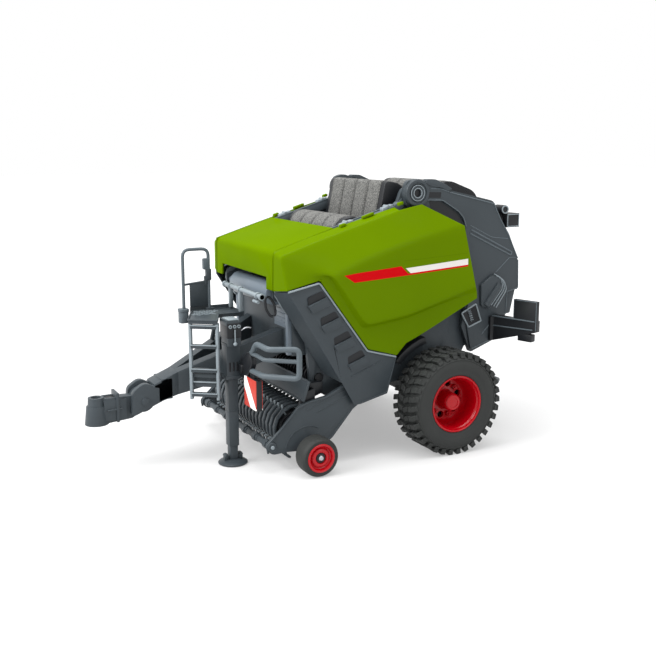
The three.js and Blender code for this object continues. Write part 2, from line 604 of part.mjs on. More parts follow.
// Jack sleeve on its bracket beside the left arm, and the hose holder above it.
const JACK_X = 31.2;
const SLEEVE = JACK_TUBE / 2 + GAP + JACK_WALL;
const SLEEVE_LOW = 60;
const SLEEVE_TOP = 84;
const armOuter = (y) => ARM_W + ARM_SLOPE * (y - ARM_APEX_Y);
const jackSleeve = cut(
  join(
    block(JACK_X - SLEEVE, JACK_X + SLEEVE, JACK_Y - SLEEVE, JACK_Y + SLEEVE, SLEEVE_LOW, SLEEVE_TOP),
    plateZ([
      [armOuter(JACK_Y - 4) + GAP, JACK_Y - 4], [JACK_X, JACK_Y - 4], [JACK_X, JACK_Y + 4],
      [armOuter(JACK_Y + 4) + GAP, JACK_Y + 4],
    ], 62, 76),
    block(JACK_X - 5.5, JACK_X + 7.5, JACK_Y - 4.5, JACK_Y + 4.5, SLEEVE_TOP - 1, 98),
    block(JACK_X - 5.5, JACK_X + 7.5, JACK_Y - 5.5, JACK_Y + 3, 97, DECK_Z),
  ),
  block(
    JACK_X - SLEEVE + JACK_WALL, JACK_X + SLEEVE - JACK_WALL,
    JACK_Y - SLEEVE + JACK_WALL, JACK_Y + SLEEVE - JACK_WALL, SLEEVE_LOW - 1, SLEEVE_TOP - 1.5,
  ),
);
add('jack_sleeve', jackSleeve, grey());

// Jack leg: a square tube, a narrower foot post and the round foot with its ears.
const half = JACK_TUBE / 2;
const jackLeg = join(
  block(JACK_X - half, JACK_X + half, JACK_Y - half, JACK_Y + half, 13, 65.5),
  block(JACK_X - half + 0.7, JACK_X + half - 0.7, JACK_Y - half + 0.7, JACK_Y + half - 0.7, 2, 13.5),
  rod([JACK_X, JACK_Y, 0], [JACK_X, JACK_Y, 1.4], JACK_FOOT_R, 28, JACK_FOOT_R),
  rod([JACK_X, JACK_Y, 1.3], [JACK_X, JACK_Y, 3], JACK_FOOT_R, 28, JACK_FOOT_R - 2.5),
  block(JACK_X - 1.2, JACK_X + 1.2, JACK_Y - 6.4, JACK_Y + 6.4, 2, 8),
);
add('jack_leg', jackLeg, grey());

// ---------------------------------------------------------------- platform, ladder and handrail

const DECK_LOW = DECK_Z - DECK_T;
const deckPlan = [
  [-9, -129], [14, -129], [14, -147.8], [36.7, -156.8], [25, -173], [-4.5, -160.5],
];
const LEG_X = 15.5;
const LEG_Y = -142;
const LEG_R = 1.6;
const armTop = (y) => 55 + (y + 194) * 0.4159;
const deckLegs = [-LEG_X, LEG_X].map((x) => rod(
  [x, LEG_Y, armTop(LEG_Y + LEG_R) + GAP], [x / 2, LEG_Y + 2, DECK_Z - 1], LEG_R, 12,
));
add('platform', join(plateZ(deckPlan, DECK_LOW, DECK_Z), ...deckLegs), grey());

// Ladder hung under the platform's slanting edge.
const LADDER_LOW = 47;
const STILE = 1.6;
const RUNG_LEVELS = [DECK_LOW - 2, 83, 66.8, LADDER_LOW + 3.2];
const ladder = join(
  ...[0, LADDER_W - STILE].map((x) => block(x, x + STILE, -STILE, STILE, LADDER_LOW, DECK_LOW - GAP)),
  ...RUNG_LEVELS.map((z) => block(0.5, LADDER_W - 0.5, -2.2, 2.2, z - 1.4, z + 1.2)),
).rotateZ(LADDER_TURN).translate(...LADDER_AT, 0);
add('ladder', ladder, grey());

// Handrail on the far side of the deck, with its infill plate and lamp.
const RAIL_X = -7;
const RAIL_FRONT = -165.5;
const RAIL_REAR = -146.5;
const RAIL_TUBE = 1.1;
const INFILL_TOP = DECK_Z + 20.4;
const CANISTER_R = 3.4;
const handrail = join(
  bent([
    [RAIL_X, RAIL_FRONT, DECK_Z - 6], [RAIL_X, RAIL_FRONT, DECK_Z + RAIL_H],
    [RAIL_X, RAIL_REAR, DECK_Z + RAIL_H], [RAIL_X, RAIL_REAR, DECK_Z + GAP],
  ], RAIL_TUBE, 5),
  block(RAIL_X - 0.7, RAIL_X + 0.7, RAIL_FRONT + 5, RAIL_REAR, DECK_Z + 3.4, INFILL_TOP),
  block(RAIL_X - 0.6, RAIL_X + 0.6, RAIL_FRONT, RAIL_REAR, INFILL_TOP - 2, INFILL_TOP),
  block(RAIL_X - 1.4, RAIL_X + 1.4, RAIL_REAR - 4, RAIL_REAR, DECK_Z + 30, DECK_Z + 36),
  rod([RAIL_X, RAIL_FRONT, DECK_Z - 7.6], [RAIL_X, RAIL_FRONT, DECK_Z + 2.4], CANISTER_R, 14),
);
add('handrail', handrail, dark());

// Bar in front of the hood, on two posts that stand on the deck's rear edge.
const BAR_Z = 116.3;
const BAR_Y = -130.5;
const POSTS_X = [-6.5, 12];
add('roll_bar', join(
  rodX(-18, 50, BAR_Y, BAR_Z, 1.6, 10),
  ...POSTS_X.map((x) => block(x - 1.5, x + 1.5, BAR_Y - 1.2, BAR_Y + 1.2, DECK_Z + GAP, BAR_Z)),
), light());

// ---------------------------------------------------------------- guard and warning board

const GUARD_Y = -139.5;
const GUARD_TUBE = 1.8;
const GUARD_TOP = 88.2;
const GUARD_MID = 80.2;
const GUARD_LOW = 69.2;
const GUARD_BEND = 79.8;
const GUARD_FLARE = [8.4, 17.4];
const guardEnd = [GUARD_BEND + GUARD_FLARE[0], GUARD_Y + GUARD_FLARE[1]];
const guardFoot = JACK_X + SLEEVE + GAP;
const guardStart = guardFoot + 2;
const guard = join(
  bent([
    [guardStart, GUARD_Y, GUARD_LOW - 1], [60, GUARD_Y, GUARD_TOP], [GUARD_BEND, GUARD_Y, GUARD_TOP],
    [...guardEnd, GUARD_TOP], [...guardEnd, GUARD_LOW], [71, GUARD_Y, GUARD_LOW],
    [guardStart, GUARD_Y, GUARD_LOW],
  ], GUARD_TUBE, 3.5),
  bent([[50, GUARD_Y, GUARD_MID], [73, GUARD_Y, GUARD_MID], [...guardEnd, GUARD_MID]], GUARD_TUBE - 0.4, 3),
  block(guardFoot, guardFoot + 4, GUARD_Y - 2.6, GUARD_Y + 2.6, 62, 74),
);
add('guard', guard, grey());

const BOARD_TOP = 64.6;
const BOARD_H = 20.2;
const warningBoard = join(
  block(44.5, 64.8, GUARD_Y - 2.2, GUARD_Y + 1.8, BOARD_TOP - BOARD_H, BOARD_TOP),
  block(51, 58, GUARD_Y - 1, GUARD_Y + 1, BOARD_TOP - 1, GUARD_LOW - GUARD_TUBE - GAP),
);
add('warning_board', warningBoard, paint(0xe8e2dc, 0.4));

// ---------------------------------------------------------------- pick-up

const BAR_CENTRE = [-131, 18.6];
const PRESS_R = 2.1;
const pickupSide = cut(
  join(
    plateX([
      [-136, 19, 4], [-131, 13, 3], [-120, 13.6], [-96, 12], [-86, 19], [-70.5, 36.8],
      [-60, 44, 4], [-59, 56, 4], [-73, 56.5], [-90, 48.5], [-103, 46.2],
      [-110, 44.8, 4], [-123.5, 30, 4],
    ], SIDE_IN, PICKUP_HALF),
    rodX(PICKUP_HALF - 0.5, GAUGE_OUT - 1, GAUGE_Y, GAUGE_R, 1.9, 14),
    rodX(PICKUP_HALF - 0.5, GAUGE_OUT - GAUGE_W - GAP, GAUGE_Y, GAUGE_R, 3.6, 14),
  ),
  rodX(SIDE_IN - 1, PICKUP_HALF + 1, LIFT_Y, LIFT_Z, 2.5 + GAP, 16),
  rodX(SIDE_IN - 1, PICKUP_HALF + 1, ...BAR_CENTRE, 1.4 + GAP, 12),
);
addPair('pickup_side', pickupSide, grey);

add('lift_shaft', rodX(-PICKUP_HALF - 1, PICKUP_HALF + 1, LIFT_Y, LIFT_Z, 2.5, 16), dark());

// Press bar across the front, with its clamps.
const CLAMPS = 7;
const clampPitch = 2 * (SIDE_IN - 6) / (CLAMPS - 1);
add('press_bar', join(
  rodX(-PICKUP_HALF, PICKUP_HALF, ...BAR_CENTRE, 1.4, 12),
  rodX(-SIDE_IN + GAP, SIDE_IN - GAP, ...BAR_CENTRE, PRESS_R, 12),
  ...Array.from({ length: CLAMPS }, (_, i) => {
    const x = -SIDE_IN + 6 + i * clampPitch;
    return rodX(x - 2, x + 2, ...BAR_CENTRE, PRESS_R + 0.8, 12);
  }),
), grey());

// Curved bands over the tine reel, flared at both ends to rails outside the tines' sweep.
const BAND_T = 1.4;
const BAND_W = 3.1;
const RAIL_R = TINE_TIP_R + RUN_GAP + BAND_T;
const BAND_FROM = 60;
const BAND_TO = 240;
const polar = (deg, r) => {
  const angle = THREE.MathUtils.degToRad(deg);
  return [REEL_Y + r * Math.cos(angle), REEL_Z + r * Math.sin(angle)];
};
const bandArc = arcBand(REEL_Y, REEL_Z, BAND_FROM, BAND_TO, BAND_R, BAND_T, 8);
const bandHalf = bandArc.length / 2;
const bandOutline = [
  ...bandArc.slice(0, bandHalf), polar(BAND_TO + 9, RAIL_R), polar(BAND_TO + 9, RAIL_R - BAND_T),
  ...bandArc.slice(bandHalf), polar(BAND_FROM - 9, RAIL_R - BAND_T), polar(BAND_FROM - 9, RAIL_R),
];
const rail = (deg) => plateX(
  arcBand(REEL_Y, REEL_Z, deg - 3, deg + 3, RAIL_R, BAND_T, 1), -SIDE_IN + GAP, SIDE_IN - GAP,
);
const firstBand = -TINE_PITCH * TINE_COUNT / 2;
add('pickup_bands', join(
  ...Array.from({ length: TINE_COUNT + 1 }, (_, i) => {
    const x = firstBand + i * TINE_PITCH;
    return plateX(bandOutline, x - BAND_W / 2, x + BAND_W / 2);
  }),
  rail(BAND_FROM - 9),
  rail(BAND_TO + 9),
), dark());

// Plate that guides the crop over the bands to the feed rotor.
add('wind_guard', plateX(
  [[-108.6, 46.9], [-107, 46.1], [-102.4, 59.6], [-104, 60]], -PICKUP_HALF, PICKUP_HALF,
), light());

// Tine reel: a shaft with end journals and rows of tines that pass between the bands.
const TINE_ROWS = 4;
const tines = [];
for (let row = 0; row < TINE_ROWS; row++) {
  const angle = (row + 0.36) * 2 * Math.PI / TINE_ROWS;
  for (let i = 0; i < TINE_COUNT; i++) {
    const x = firstBand + (i + 0.5) * TINE_PITCH;
    const at = (r) => [x, REEL_Y + r * Math.cos(angle), REEL_Z + r * Math.sin(angle)];
    tines.push(rod(at(REEL_R - 1), at(TINE_TIP_R), 0.75, 4));
  }
}
add('tine_reel', join(
  rodX(-SIDE_IN + GAP, SIDE_IN - GAP, REEL_Y, REEL_Z, REEL_R, 16),
  ...tines,
), dark());

// Ribbed feed rotor between the chamber's side plates.
const ROTOR_RIBS = 9;
add('feed_rotor', join(
  rodX(-SIDE_X, SIDE_X, ROTOR_Y, ROTOR_Z, 3, 12),
  rodX(-INNER_X + 1, INNER_X - 1, ROTOR_Y, ROTOR_Z, ROTOR_R - 3, 12),
  ...Array.from({ length: ROTOR_RIBS }, (_, i) => {
    const x = -INNER_X + 3 + i * (2 * INNER_X - 6) / (ROTOR_RIBS - 1);
    return rodX(x - 1, x + 1, ROTOR_Y, ROTOR_Z, ROTOR_R, 8);
  }),
), dark());

// ---------------------------------------------------------------- wheels

function tyreProfile(inner, outer, bore, r, wall) {
  return [
    [bore, inner + wall], [r * 0.8, inner], [r - 2 * wall, inner + 0.4 * wall], [r, inner + 2.2 * wall],
    [r, outer - 2.2 * wall], [r - 2 * wall, outer - 0.4 * wall], [r * 0.8, outer], [bore, outer - wall],
    [bore, inner + wall],
  ];
}
const tyre = turned(tyreProfile(TYRE_IN, TYRE_OUT, RIM_R + GAP, WHEEL_R, 1.9), 0, AXLE_Z, 44);
const BORE = AXLE_R + GAP;
const rim = turned([
  [BORE, TYRE_IN + 3 + GAP], [7, TYRE_IN + 3 + GAP], [7, TYRE_OUT - 17], [16.5, TYRE_OUT - 17],
  [17.5, TYRE_IN + 4], [RIM_R, TYRE_IN + 2.8], [RIM_R, TYRE_OUT - 2.8], [18, TYRE_OUT - 4],
  [16.8, TYRE_OUT - 14.5], [7.5, TYRE_OUT - 14.5], [6.5, TYRE_OUT - 6], [BORE, TYRE_OUT - 6],
  [BORE, TYRE_IN + 3 + GAP],
], 0, AXLE_Z, 32);
addPair('tyre', tyre, rubber);
addPair('rim', rim, red);

const GAUGE_IN = GAUGE_OUT - GAUGE_W;
const gaugeProfile = tyreProfile(GAUGE_IN, GAUGE_OUT, GAUGE_RIM_R + GAP, GAUGE_R, 0.8);
const gaugeTyre = turned(gaugeProfile, GAUGE_Y, GAUGE_R, 28);
const GAUGE_BORE = 1.9 + GAP;
const gaugeRim = turned([
  [GAUGE_BORE, GAUGE_IN], [4, GAUGE_IN], [GAUGE_RIM_R, GAUGE_IN + 1.2], [GAUGE_RIM_R, GAUGE_OUT - 1.2],
  [7.4, GAUGE_OUT - 0.8], [6.6, GAUGE_OUT - 1.8], [5.6, GAUGE_OUT - 1.8], [4.8, GAUGE_OUT - 0.8],
  [GAUGE_BORE, GAUGE_OUT - 0.8], [GAUGE_BORE, GAUGE_IN],
], GAUGE_Y, GAUGE_R, 24);
addPair('gauge_tyre', gaugeTyre, rubber);
addPair('gauge_rim', gaugeRim, red);

// ---------------------------------------------------------------- bale ramp

const RAMP_X = 40;
add('bale_ramp', join(
  bent([[RAMP_X, 6, AXLE_Z + 2], [RAMP_X, 74, 34], [-RAMP_X, 74, 34], [-RAMP_X, 6, AXLE_Z + 2]], 2, 8),
  rodX(-RAMP_X, RAMP_X, 52, 35.2, 1.6, 10),
), grey());

// ---------------------------------------------------------------- origin at the bottom centre

const box = new THREE.Box3().setFromObject(group);
group.position.set(-(box.min.x + box.max.x) / 2, -(box.min.y + box.max.y) / 2, 0);

export default group;
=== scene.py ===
# %% [markdown]
# # A toy round baler
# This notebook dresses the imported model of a 1:16 toy round baler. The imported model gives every
# size and every moving body. Here each piece gets its real edges, its small mouldings and its
# finish: glossy green covers, satin grey frame, red wheel centres, soft black tyres.
# The model is loaded first, because every position below is taken from it.

import json
import math

import bpy
from mathutils import Matrix, Vector


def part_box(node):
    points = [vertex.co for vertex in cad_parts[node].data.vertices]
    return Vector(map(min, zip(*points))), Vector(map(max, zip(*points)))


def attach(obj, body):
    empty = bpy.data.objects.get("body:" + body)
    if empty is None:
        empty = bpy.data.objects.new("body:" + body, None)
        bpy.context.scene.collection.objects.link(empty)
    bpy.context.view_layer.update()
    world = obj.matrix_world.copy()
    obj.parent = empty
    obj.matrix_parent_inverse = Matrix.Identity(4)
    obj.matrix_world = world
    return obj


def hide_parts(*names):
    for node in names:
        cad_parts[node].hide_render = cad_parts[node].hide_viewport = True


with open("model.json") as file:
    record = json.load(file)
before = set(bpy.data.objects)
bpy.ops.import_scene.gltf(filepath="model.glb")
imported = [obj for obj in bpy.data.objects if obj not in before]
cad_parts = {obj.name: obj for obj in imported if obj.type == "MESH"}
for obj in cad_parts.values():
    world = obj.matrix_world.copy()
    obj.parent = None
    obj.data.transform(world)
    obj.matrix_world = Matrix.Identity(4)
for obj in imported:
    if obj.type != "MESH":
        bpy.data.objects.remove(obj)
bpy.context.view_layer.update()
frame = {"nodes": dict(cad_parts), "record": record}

# %% [markdown]
# A maker's drawing of this toy would start from the main axle: lengths ahead of it and behind it,
# heights above the ground, and half widths off the centre line. The same habit is kept here.
# `at` turns such a drawing position in millimetres into a place in the scene, in metres.
# The axle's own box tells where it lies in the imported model.

# %% Places measured from the axle
MM = 0.001
axle_low, axle_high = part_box("axle")
AXLE_Y = (axle_low.y + axle_high.y) / 2
AXLE_Z = (axle_low.z + axle_high.z) / 2


def at(x, y, z):
    return Vector((x * MM, y * MM + AXLE_Y, z * MM))


print("axle at", round(AXLE_Y, 4), round(AXLE_Z, 4))

# %% [markdown]
# The camera stands low on the machine's left, ahead of the pick-up, so that the hood's front, the
# left cover and the main wheel all show. It looks along one straight direction, given by a turn
# about the vertical and a tilt above the floor, and its lens is slightly long, as for a product
# picture. The scene's own view transform is set to Standard, so strong greens stay strong.

# %% Camera
CAMERA_TURN = math.radians(62.92)
CAMERA_TILT = math.radians(10.93)
bpy.ops.object.camera_add(
    location=at(603.16, -365.25, 214.43),
    rotation=(math.pi / 2 - CAMERA_TILT, 0, CAMERA_TURN),
)
camera = bpy.context.object
camera.data.sensor_width = 36
camera.data.lens = 51.19
camera.data.clip_start = 0.01
bpy.context.scene.camera = camera
bpy.context.scene.view_settings.view_transform = "Standard"
print("camera", [round(v, 3) for v in camera.location])

# %% [markdown]
# Most pieces here are made in one of five ways, so the five moves come first as small helpers.
# A flat piece starts as a ring of corners filled with one face, which is then extruded. Operators
# act on everything selected, so each helper deselects first and selects what it needs in code.
# Moulded plastic never has razor edges: `round_edges` adds a bevel that catches the light.

# %% Small moves used by every piece
def deselect():
    bpy.ops.object.select_all(action="DESELECT")


def only(piece):
    deselect()
    piece.select_set(True)
    bpy.context.view_layer.objects.active = piece


def edit_all(piece, *steps):
    only(piece)
    bpy.ops.object.mode_set(mode="EDIT")
    bpy.ops.mesh.select_all(action="SELECT")
    for step in steps:
        step()
    bpy.ops.object.mode_set(mode="OBJECT")


def outward():
    bpy.ops.mesh.normals_make_consistent(inside=False)


def weld(limit=0.00001):
    bpy.ops.mesh.remove_doubles(threshold=limit)


def apply_modifier(piece, kind, **settings):
    only(piece)
    modifier = piece.modifiers.new(kind.title(), kind)
    for name, value in settings.items():
        setattr(modifier, name, value)
    bpy.ops.object.modifier_apply(modifier=modifier.name)


def smooth(piece, degrees=32):
    only(piece)
    bpy.ops.object.shade_smooth_by_angle(angle=math.radians(degrees))


def round_edges(piece, width=0.4, segments=2, degrees=28):
    apply_modifier(
        piece, "BEVEL", width=width * MM, segments=segments, limit_method="ANGLE",
        angle_limit=math.radians(degrees), use_clamp_overlap=True,
    )
    smooth(piece)
    return piece


# %% [markdown]
# A flat piece is a ring of corners. `slab` takes them in the plane of the drawing and pushes the
# face out along the third axis; a corner may carry a radius, as a moulder's drawing would give it.
# The ring starts as Blender's own circle with as many points as the outline has.

# %% Flat pieces from an outline
PLANES = {
    "x": lambda u, v, w: (w, u, v),
    "y": lambda u, v, w: (u, w, v),
    "z": lambda u, v, w: (u, v, w),
}


def rounded(corners, steps=4):
    points = []
    for i, corner in enumerate(corners):
        here = Vector(corner[:2])
        if len(corner) == 2:
            points.append(here)
            continue
        before = Vector(corners[i - 1][:2]) - here
        after = Vector(corners[(i + 1) % len(corners)][:2]) - here
        start, end = here + before.normalized() * corner[2], here + after.normalized() * corner[2]
        for k in range(steps + 1):
            t = k / steps
            points.append(start * (1 - t) ** 2 + here * 2 * t * (1 - t) + end * t ** 2)
    return points


def slab(name, corners, along, low, high, edge=0.4, segments=2, slope=None):
    """A flat piece; a slope gives the far face's own height above `high` at each corner."""
    points = rounded(corners)
    deselect()
    bpy.ops.mesh.primitive_circle_add(vertices=len(points), fill_type="NGON")
    piece = bpy.context.object
    piece.name = name
    for vertex, (u, v) in zip(piece.data.vertices, points):
        vertex.co = at(*PLANES[along](u, v, low))
    step = Vector(PLANES[along](0, 0, (high - low) * MM))
    edit_all(
        piece,
        lambda: bpy.ops.mesh.extrude_region_move(TRANSFORM_OT_translate={"value": step}),
        lambda: bpy.ops.mesh.select_all(action="SELECT"),
        outward,
    )
    if slope:
        for vertex, (u, v) in zip(list(piece.data.vertices)[len(points):], points):
            vertex.co = at(*PLANES[along](u, v, high + slope(u, v)))
    return round_edges(piece, edge, segments) if edge else piece


# %% [markdown]
# Wheels, rollers and bosses are turned. Their section is a closed chain of points, given as
# radius and place along the shaft, which Blender's Spin carries once round the shaft's line.
# Where the last section meets the first, doubled points are welded and normals are put right.

# %% Turned pieces about a shaft across the machine
def turned(name, section, y, z, steps=48, degrees=32):
    deselect()
    bpy.ops.mesh.primitive_circle_add(vertices=len(section), fill_type="NOTHING")
    piece = bpy.context.object
    piece.name = name
    for vertex, (radius, x) in zip(piece.data.vertices, section):
        vertex.co = at(x, y, z + radius)
    edit_all(
        piece,
        lambda: bpy.ops.mesh.spin(
            steps=steps, angle=2 * math.pi, center=at(0, y, z), axis=(1, 0, 0)),
        lambda: bpy.ops.mesh.select_all(action="SELECT"),
        weld,
        outward,
    )
    smooth(piece, degrees)
    return piece


def disc(name, x0, x1, y, z, radius, edge=0.3, steps=32, bore=0.0):
    inner = [(bore, x1), (bore, x0)] if bore else [(0.001, x1), (0.001, x0)]
    section = [
        inner[1], (radius - edge, x0), (radius, x0 + edge), (radius, x1 - edge), (radius - edge, x1),
        inner[0],
    ]
    return turned(name, section, y, z, steps)


# %% [markdown]
# Tubes such as the handrail are bent from round bar. A poly curve runs through the bend points,
# its corners are replaced by short arcs, and the curve's own bevel gives it the bar's thickness.
# It is then converted to a mesh, because the export wants one.

# %% Bent bars and box-shaped mouldings
def bar(name, points, radius, corner=0.0, closed=False, sides=3):
    stops = [Vector(p) for p in points]
    route = []
    last = len(stops) - 1
    for i, here in enumerate(stops):
        if corner == 0 or (not closed and i in (0, last)):
            route.append(here)
            continue
        start = here + (stops[i - 1] - here).normalized() * corner
        end = here + (stops[(i + 1) % len(stops)] - here).normalized() * corner
        for k in range(5):
            t = k / 4
            route.append(start * (1 - t) ** 2 + here * 2 * t * (1 - t) + end * t ** 2)
    curve = bpy.data.curves.new(name, "CURVE")
    curve.dimensions = "3D"
    spline = curve.splines.new("POLY")
    spline.points.add(len(route) - 1)
    for knot, place in zip(spline.points, route):
        knot.co = (*at(*place), 1)
    spline.use_cyclic_u = closed
    curve.bevel_depth = radius * MM
    curve.bevel_resolution = sides
    curve.use_fill_caps = True
    piece = bpy.data.objects.new(name, curve)
    bpy.context.scene.collection.objects.link(piece)
    only(piece)
    bpy.ops.object.convert(target="MESH")
    piece = bpy.context.object
    edit_all(piece, weld, outward)
    smooth(piece, 40)
    return piece


def block(name, x0, x1, y0, y1, z0, z1, edge=0.4, segments=2):
    deselect()
    bpy.ops.mesh.primitive_cube_add(
        size=1, location=at((x0 + x1) / 2, (y0 + y1) / 2, (z0 + z1) / 2),
        scale=((x1 - x0) * MM, (y1 - y0) * MM, (z1 - z0) * MM),
    )
    piece = bpy.context.object
    piece.name = name
    bpy.ops.object.transform_apply(location=True, rotation=True, scale=True)
    return round_edges(piece, edge, segments)


# %% [markdown]
# Two more moves: joining loose mouldings into one piece, and making the right-hand twin of a
# left-hand piece. A mirrored mesh comes out inside out, so its normals are recalculated.

# %% Joining, copying and mirroring
def place_in_mesh(piece):
    only(piece)
    bpy.ops.object.transform_apply(location=True, rotation=True, scale=True)


def join(name, *pieces):
    only(pieces[0])
    for piece in pieces[1:]:
        piece.select_set(True)
    bpy.ops.object.join()
    piece = bpy.context.object
    piece.name = name
    place_in_mesh(piece)
    return piece


def copied(piece, name, shift=(0, 0, 0)):
    only(piece)
    bpy.ops.object.duplicate()
    twin = bpy.context.object
    twin.name = name
    twin.data.transform(Matrix.Translation(Vector(shift) * MM))
    return twin


def turned_copy(piece, name, degrees, y, z):
    twin = copied(piece, name)
    centre = at(0, y, z)
    turn = Matrix.Rotation(math.radians(degrees), 4, "X")
    twin.data.transform(Matrix.Translation(centre) @ turn @ Matrix.Translation(-centre))
    return twin


def mirrored(piece, name):
    twin = copied(piece, name)
    twin.data.transform(Matrix.Diagonal((-1, 1, 1, 1)))
    edit_all(twin, outward)
    return twin


# %% [markdown]
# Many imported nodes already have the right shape, only with knife-sharp edges. `softened` copies
# such a node, welds its loose triangles, dissolves the flat ones back into clean faces and bevels
# the edges. The copy then stands in for the node, which stays behind it for collision.

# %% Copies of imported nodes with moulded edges
def softened(node, edge=0.35, segments=2, degrees=28):
    source = frame["nodes"][node]
    piece = bpy.data.objects.new(f"{node}_skin", source.data.copy())
    bpy.context.scene.collection.objects.link(piece)
    piece.data.materials.clear()
    edit_all(
        piece, weld,
        lambda: bpy.ops.mesh.dissolve_limited(angle_limit=math.radians(2)),
    )
    return round_edges(piece, edge, segments, degrees)


BODY_OF = {
    node: body for body, nodes in frame["record"]["behaviour"]["bodies"].items() for node in nodes
}


def dress(piece, material, body):
    piece.data.materials.clear()
    piece.data.materials.append(material)
    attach(piece, body)
    return piece


def stand_in(node, piece, material):
    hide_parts(node)
    return dress(piece, material, BODY_OF[node])


def stand_in_pair(stem, piece, material):
    stand_in(f"{stem}_right", mirrored(piece, f"{piece.name}_right"), material)
    return stand_in(f"{stem}_left", piece, material)


def add_one(piece, material, node):
    """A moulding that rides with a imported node."""
    return dress(piece, material, BODY_OF[node])


def add_pair(piece, material, stem):
    """The same, with its mirror image on the right-hand side."""
    add_one(mirrored(piece, f"{piece.name}_right"), material, f"{stem}_right")
    return add_one(piece, material, f"{stem}_left")


print("helpers ready for", len(frame["nodes"]), "packed nodes")

# %% [markdown]
# Finishes come from nodes, so that they can be changed later without a picture file. Shader sums
# are easier to read as ordinary Python, so `Flow` wraps one socket: adding, subtracting or
# comparing two of them adds the Math node that does it. Any other node comes from its `add`
# method, which sets the node's own settings first and then its values or links.

# %% Shader maths as Python
class Flow:
    def __init__(self, tree, socket=None):
        self.tree, self.socket = tree, socket

    def add(self, kind, settings=None, inputs=None, out=0):
        node = self.tree.nodes.new(kind)
        for name, value in (settings or {}).items():
            if name == "stops":
                ramp = node.color_ramp
                while len(ramp.elements) < len(value):
                    ramp.elements.new(1.0)
                for element, (place, shade) in zip(ramp.elements, value):
                    element.position, element.color = place, shade
            else:
                setattr(node, name, value)
        for name, value in (inputs or {}).items():
            if isinstance(value, Flow):
                self.tree.links.new(value.socket, node.inputs[name])
            else:
                node.inputs[name].default_value = value
        return Flow(self.tree, node.outputs[out])

    def maths(self, operation, *values):
        return self.add("ShaderNodeMath", {"operation": operation}, dict(enumerate(values)))

    def __add__(self, other):
        return self.maths("ADD", self, other)

    def __sub__(self, other):
        return self.maths("SUBTRACT", self, other)

    def __rsub__(self, other):
        return self.maths("SUBTRACT", other, self)

    def __mul__(self, other):
        return self.maths("MULTIPLY", self, other)

    def __truediv__(self, other):
        return self.maths("DIVIDE", self, other)

    def __mod__(self, other):
        return self.maths("FLOORED_MODULO", self, other)

    def __gt__(self, other):
        return self.maths("GREATER_THAN", self, other)

    def __lt__(self, other):
        return self.maths("LESS_THAN", self, other)

    def __abs__(self):
        return self.maths("ABSOLUTE", self)

    __radd__, __rmul__ = __add__, __mul__


def mix(factor, first, second):
    return factor.add(
        "ShaderNodeMix", {"data_type": "RGBA"}, {0: factor, 6: first, 7: second}, out=2)


def between(value, low, high):
    return (value > low) * (value < high)


# %% [markdown]
# Colours are noted as the shop would match them, from 0 to 255, and turned into the linear
# values that a shader needs. `start_material` starts a material and hands back its main shader
# and the object's own coordinates. `axes_of` turns those into the drawing's millimetres, so that
# masks can use drawing measures.

# %% Starting a material
def tint(red, green, blue):
    return (*((v / 255) ** 2.2 for v in (red, green, blue)), 1.0)


def start_material(name):
    material = bpy.data.materials.new(name)
    material.use_nodes = True
    tree = material.node_tree
    shader = tree.nodes["Principled BSDF"]
    place = Flow(tree).add("ShaderNodeTexCoord", out="Object")
    return material, shader, place


def feed(shader, socket, value):
    value.tree.links.new(value.socket, shader.inputs[socket])


def axes_of(place):
    split = place.add("ShaderNodeSeparateXYZ", inputs={0: place})
    parts = [Flow(place.tree, socket) for socket in split.socket.node.outputs]
    return parts[0] / MM, (parts[1] - AXLE_Y) / MM, parts[2] / MM


def noise(place, scale, detail=3.0):
    return place.add("ShaderNodeTexNoise", inputs={"Vector": place, "Scale": scale, "Detail": detail})


def bump(height, strength, distance):
    return height.add(
        "ShaderNodeBump", inputs={"Strength": strength, "Distance": distance, "Height": height})


def set_gloss(shader, specular, coat=0.0):
    shader.inputs["Specular IOR Level"].default_value = specular
    shader.inputs["Coat Weight"].default_value = coat
    shader.inputs["Coat Roughness"].default_value = 0.12


# %% [markdown]
# Nearly everything on this toy is moulded plastic. Seen close, such plastic is not one flat
# colour: its tone drifts a little where it flowed and cooled, its gloss is uneven, and the mould's
# spark-eroded surface leaves a very fine grain. One recipe makes all the plain plastics, from a
# colour, a slightly darker partner, a gloss and a grain depth.

# %% Moulded plastics
def plastic(name, shade, darker, roughness, grain=0.25, specular=0.3, coat=0.0):
    material, shader, place = start_material(name)
    cloud = noise(place, 22.0)
    fine = noise(place, 1500.0, 2.0)
    feed(shader, "Base Color", mix(cloud, tint(*darker), tint(*shade)))
    feed(shader, "Roughness", roughness + (cloud - 0.5) * 0.16 + (fine - 0.5) * 0.12)
    feed(shader, "Normal", bump(fine + cloud * 2.0, grain, 0.00012))
    set_gloss(shader, specular, coat)
    return material


GREEN_HIGH, GREEN_LOW = (88, 113, 0), (82, 106, 0)
GREEN = plastic("green_gloss", GREEN_HIGH, GREEN_LOW, 0.3, 0.06, 0.0, 0.02)
GREY = plastic("anthracite_satin", (59, 65, 69), (51, 57, 61), 0.42, 0.3, 0.25)
MID_GREY = plastic("mid_grey_satin", (84, 92, 97), (75, 83, 88), 0.42, 0.3, 0.25)
LIGHT_GREY = plastic("light_grey_satin", (126, 135, 140), (114, 123, 128), 0.42, 0.3)
BLUE_GREY = plastic("blue_grey_satin", (100, 110, 119), (90, 99, 107), 0.36, 0.2)
DARK = plastic("black_satin", (30, 32, 35), (23, 25, 28), 0.4, 0.35)
RED = plastic("red_gloss", (166, 5, 24), (152, 2, 19), 0.25, 0.06, 0.25, 0.15)
SMOKE = plastic("clear_smoke_lamp", (46, 48, 52), (34, 36, 40), 0.18, 0.05, 0.5, 0.5)
print("plastics ready")
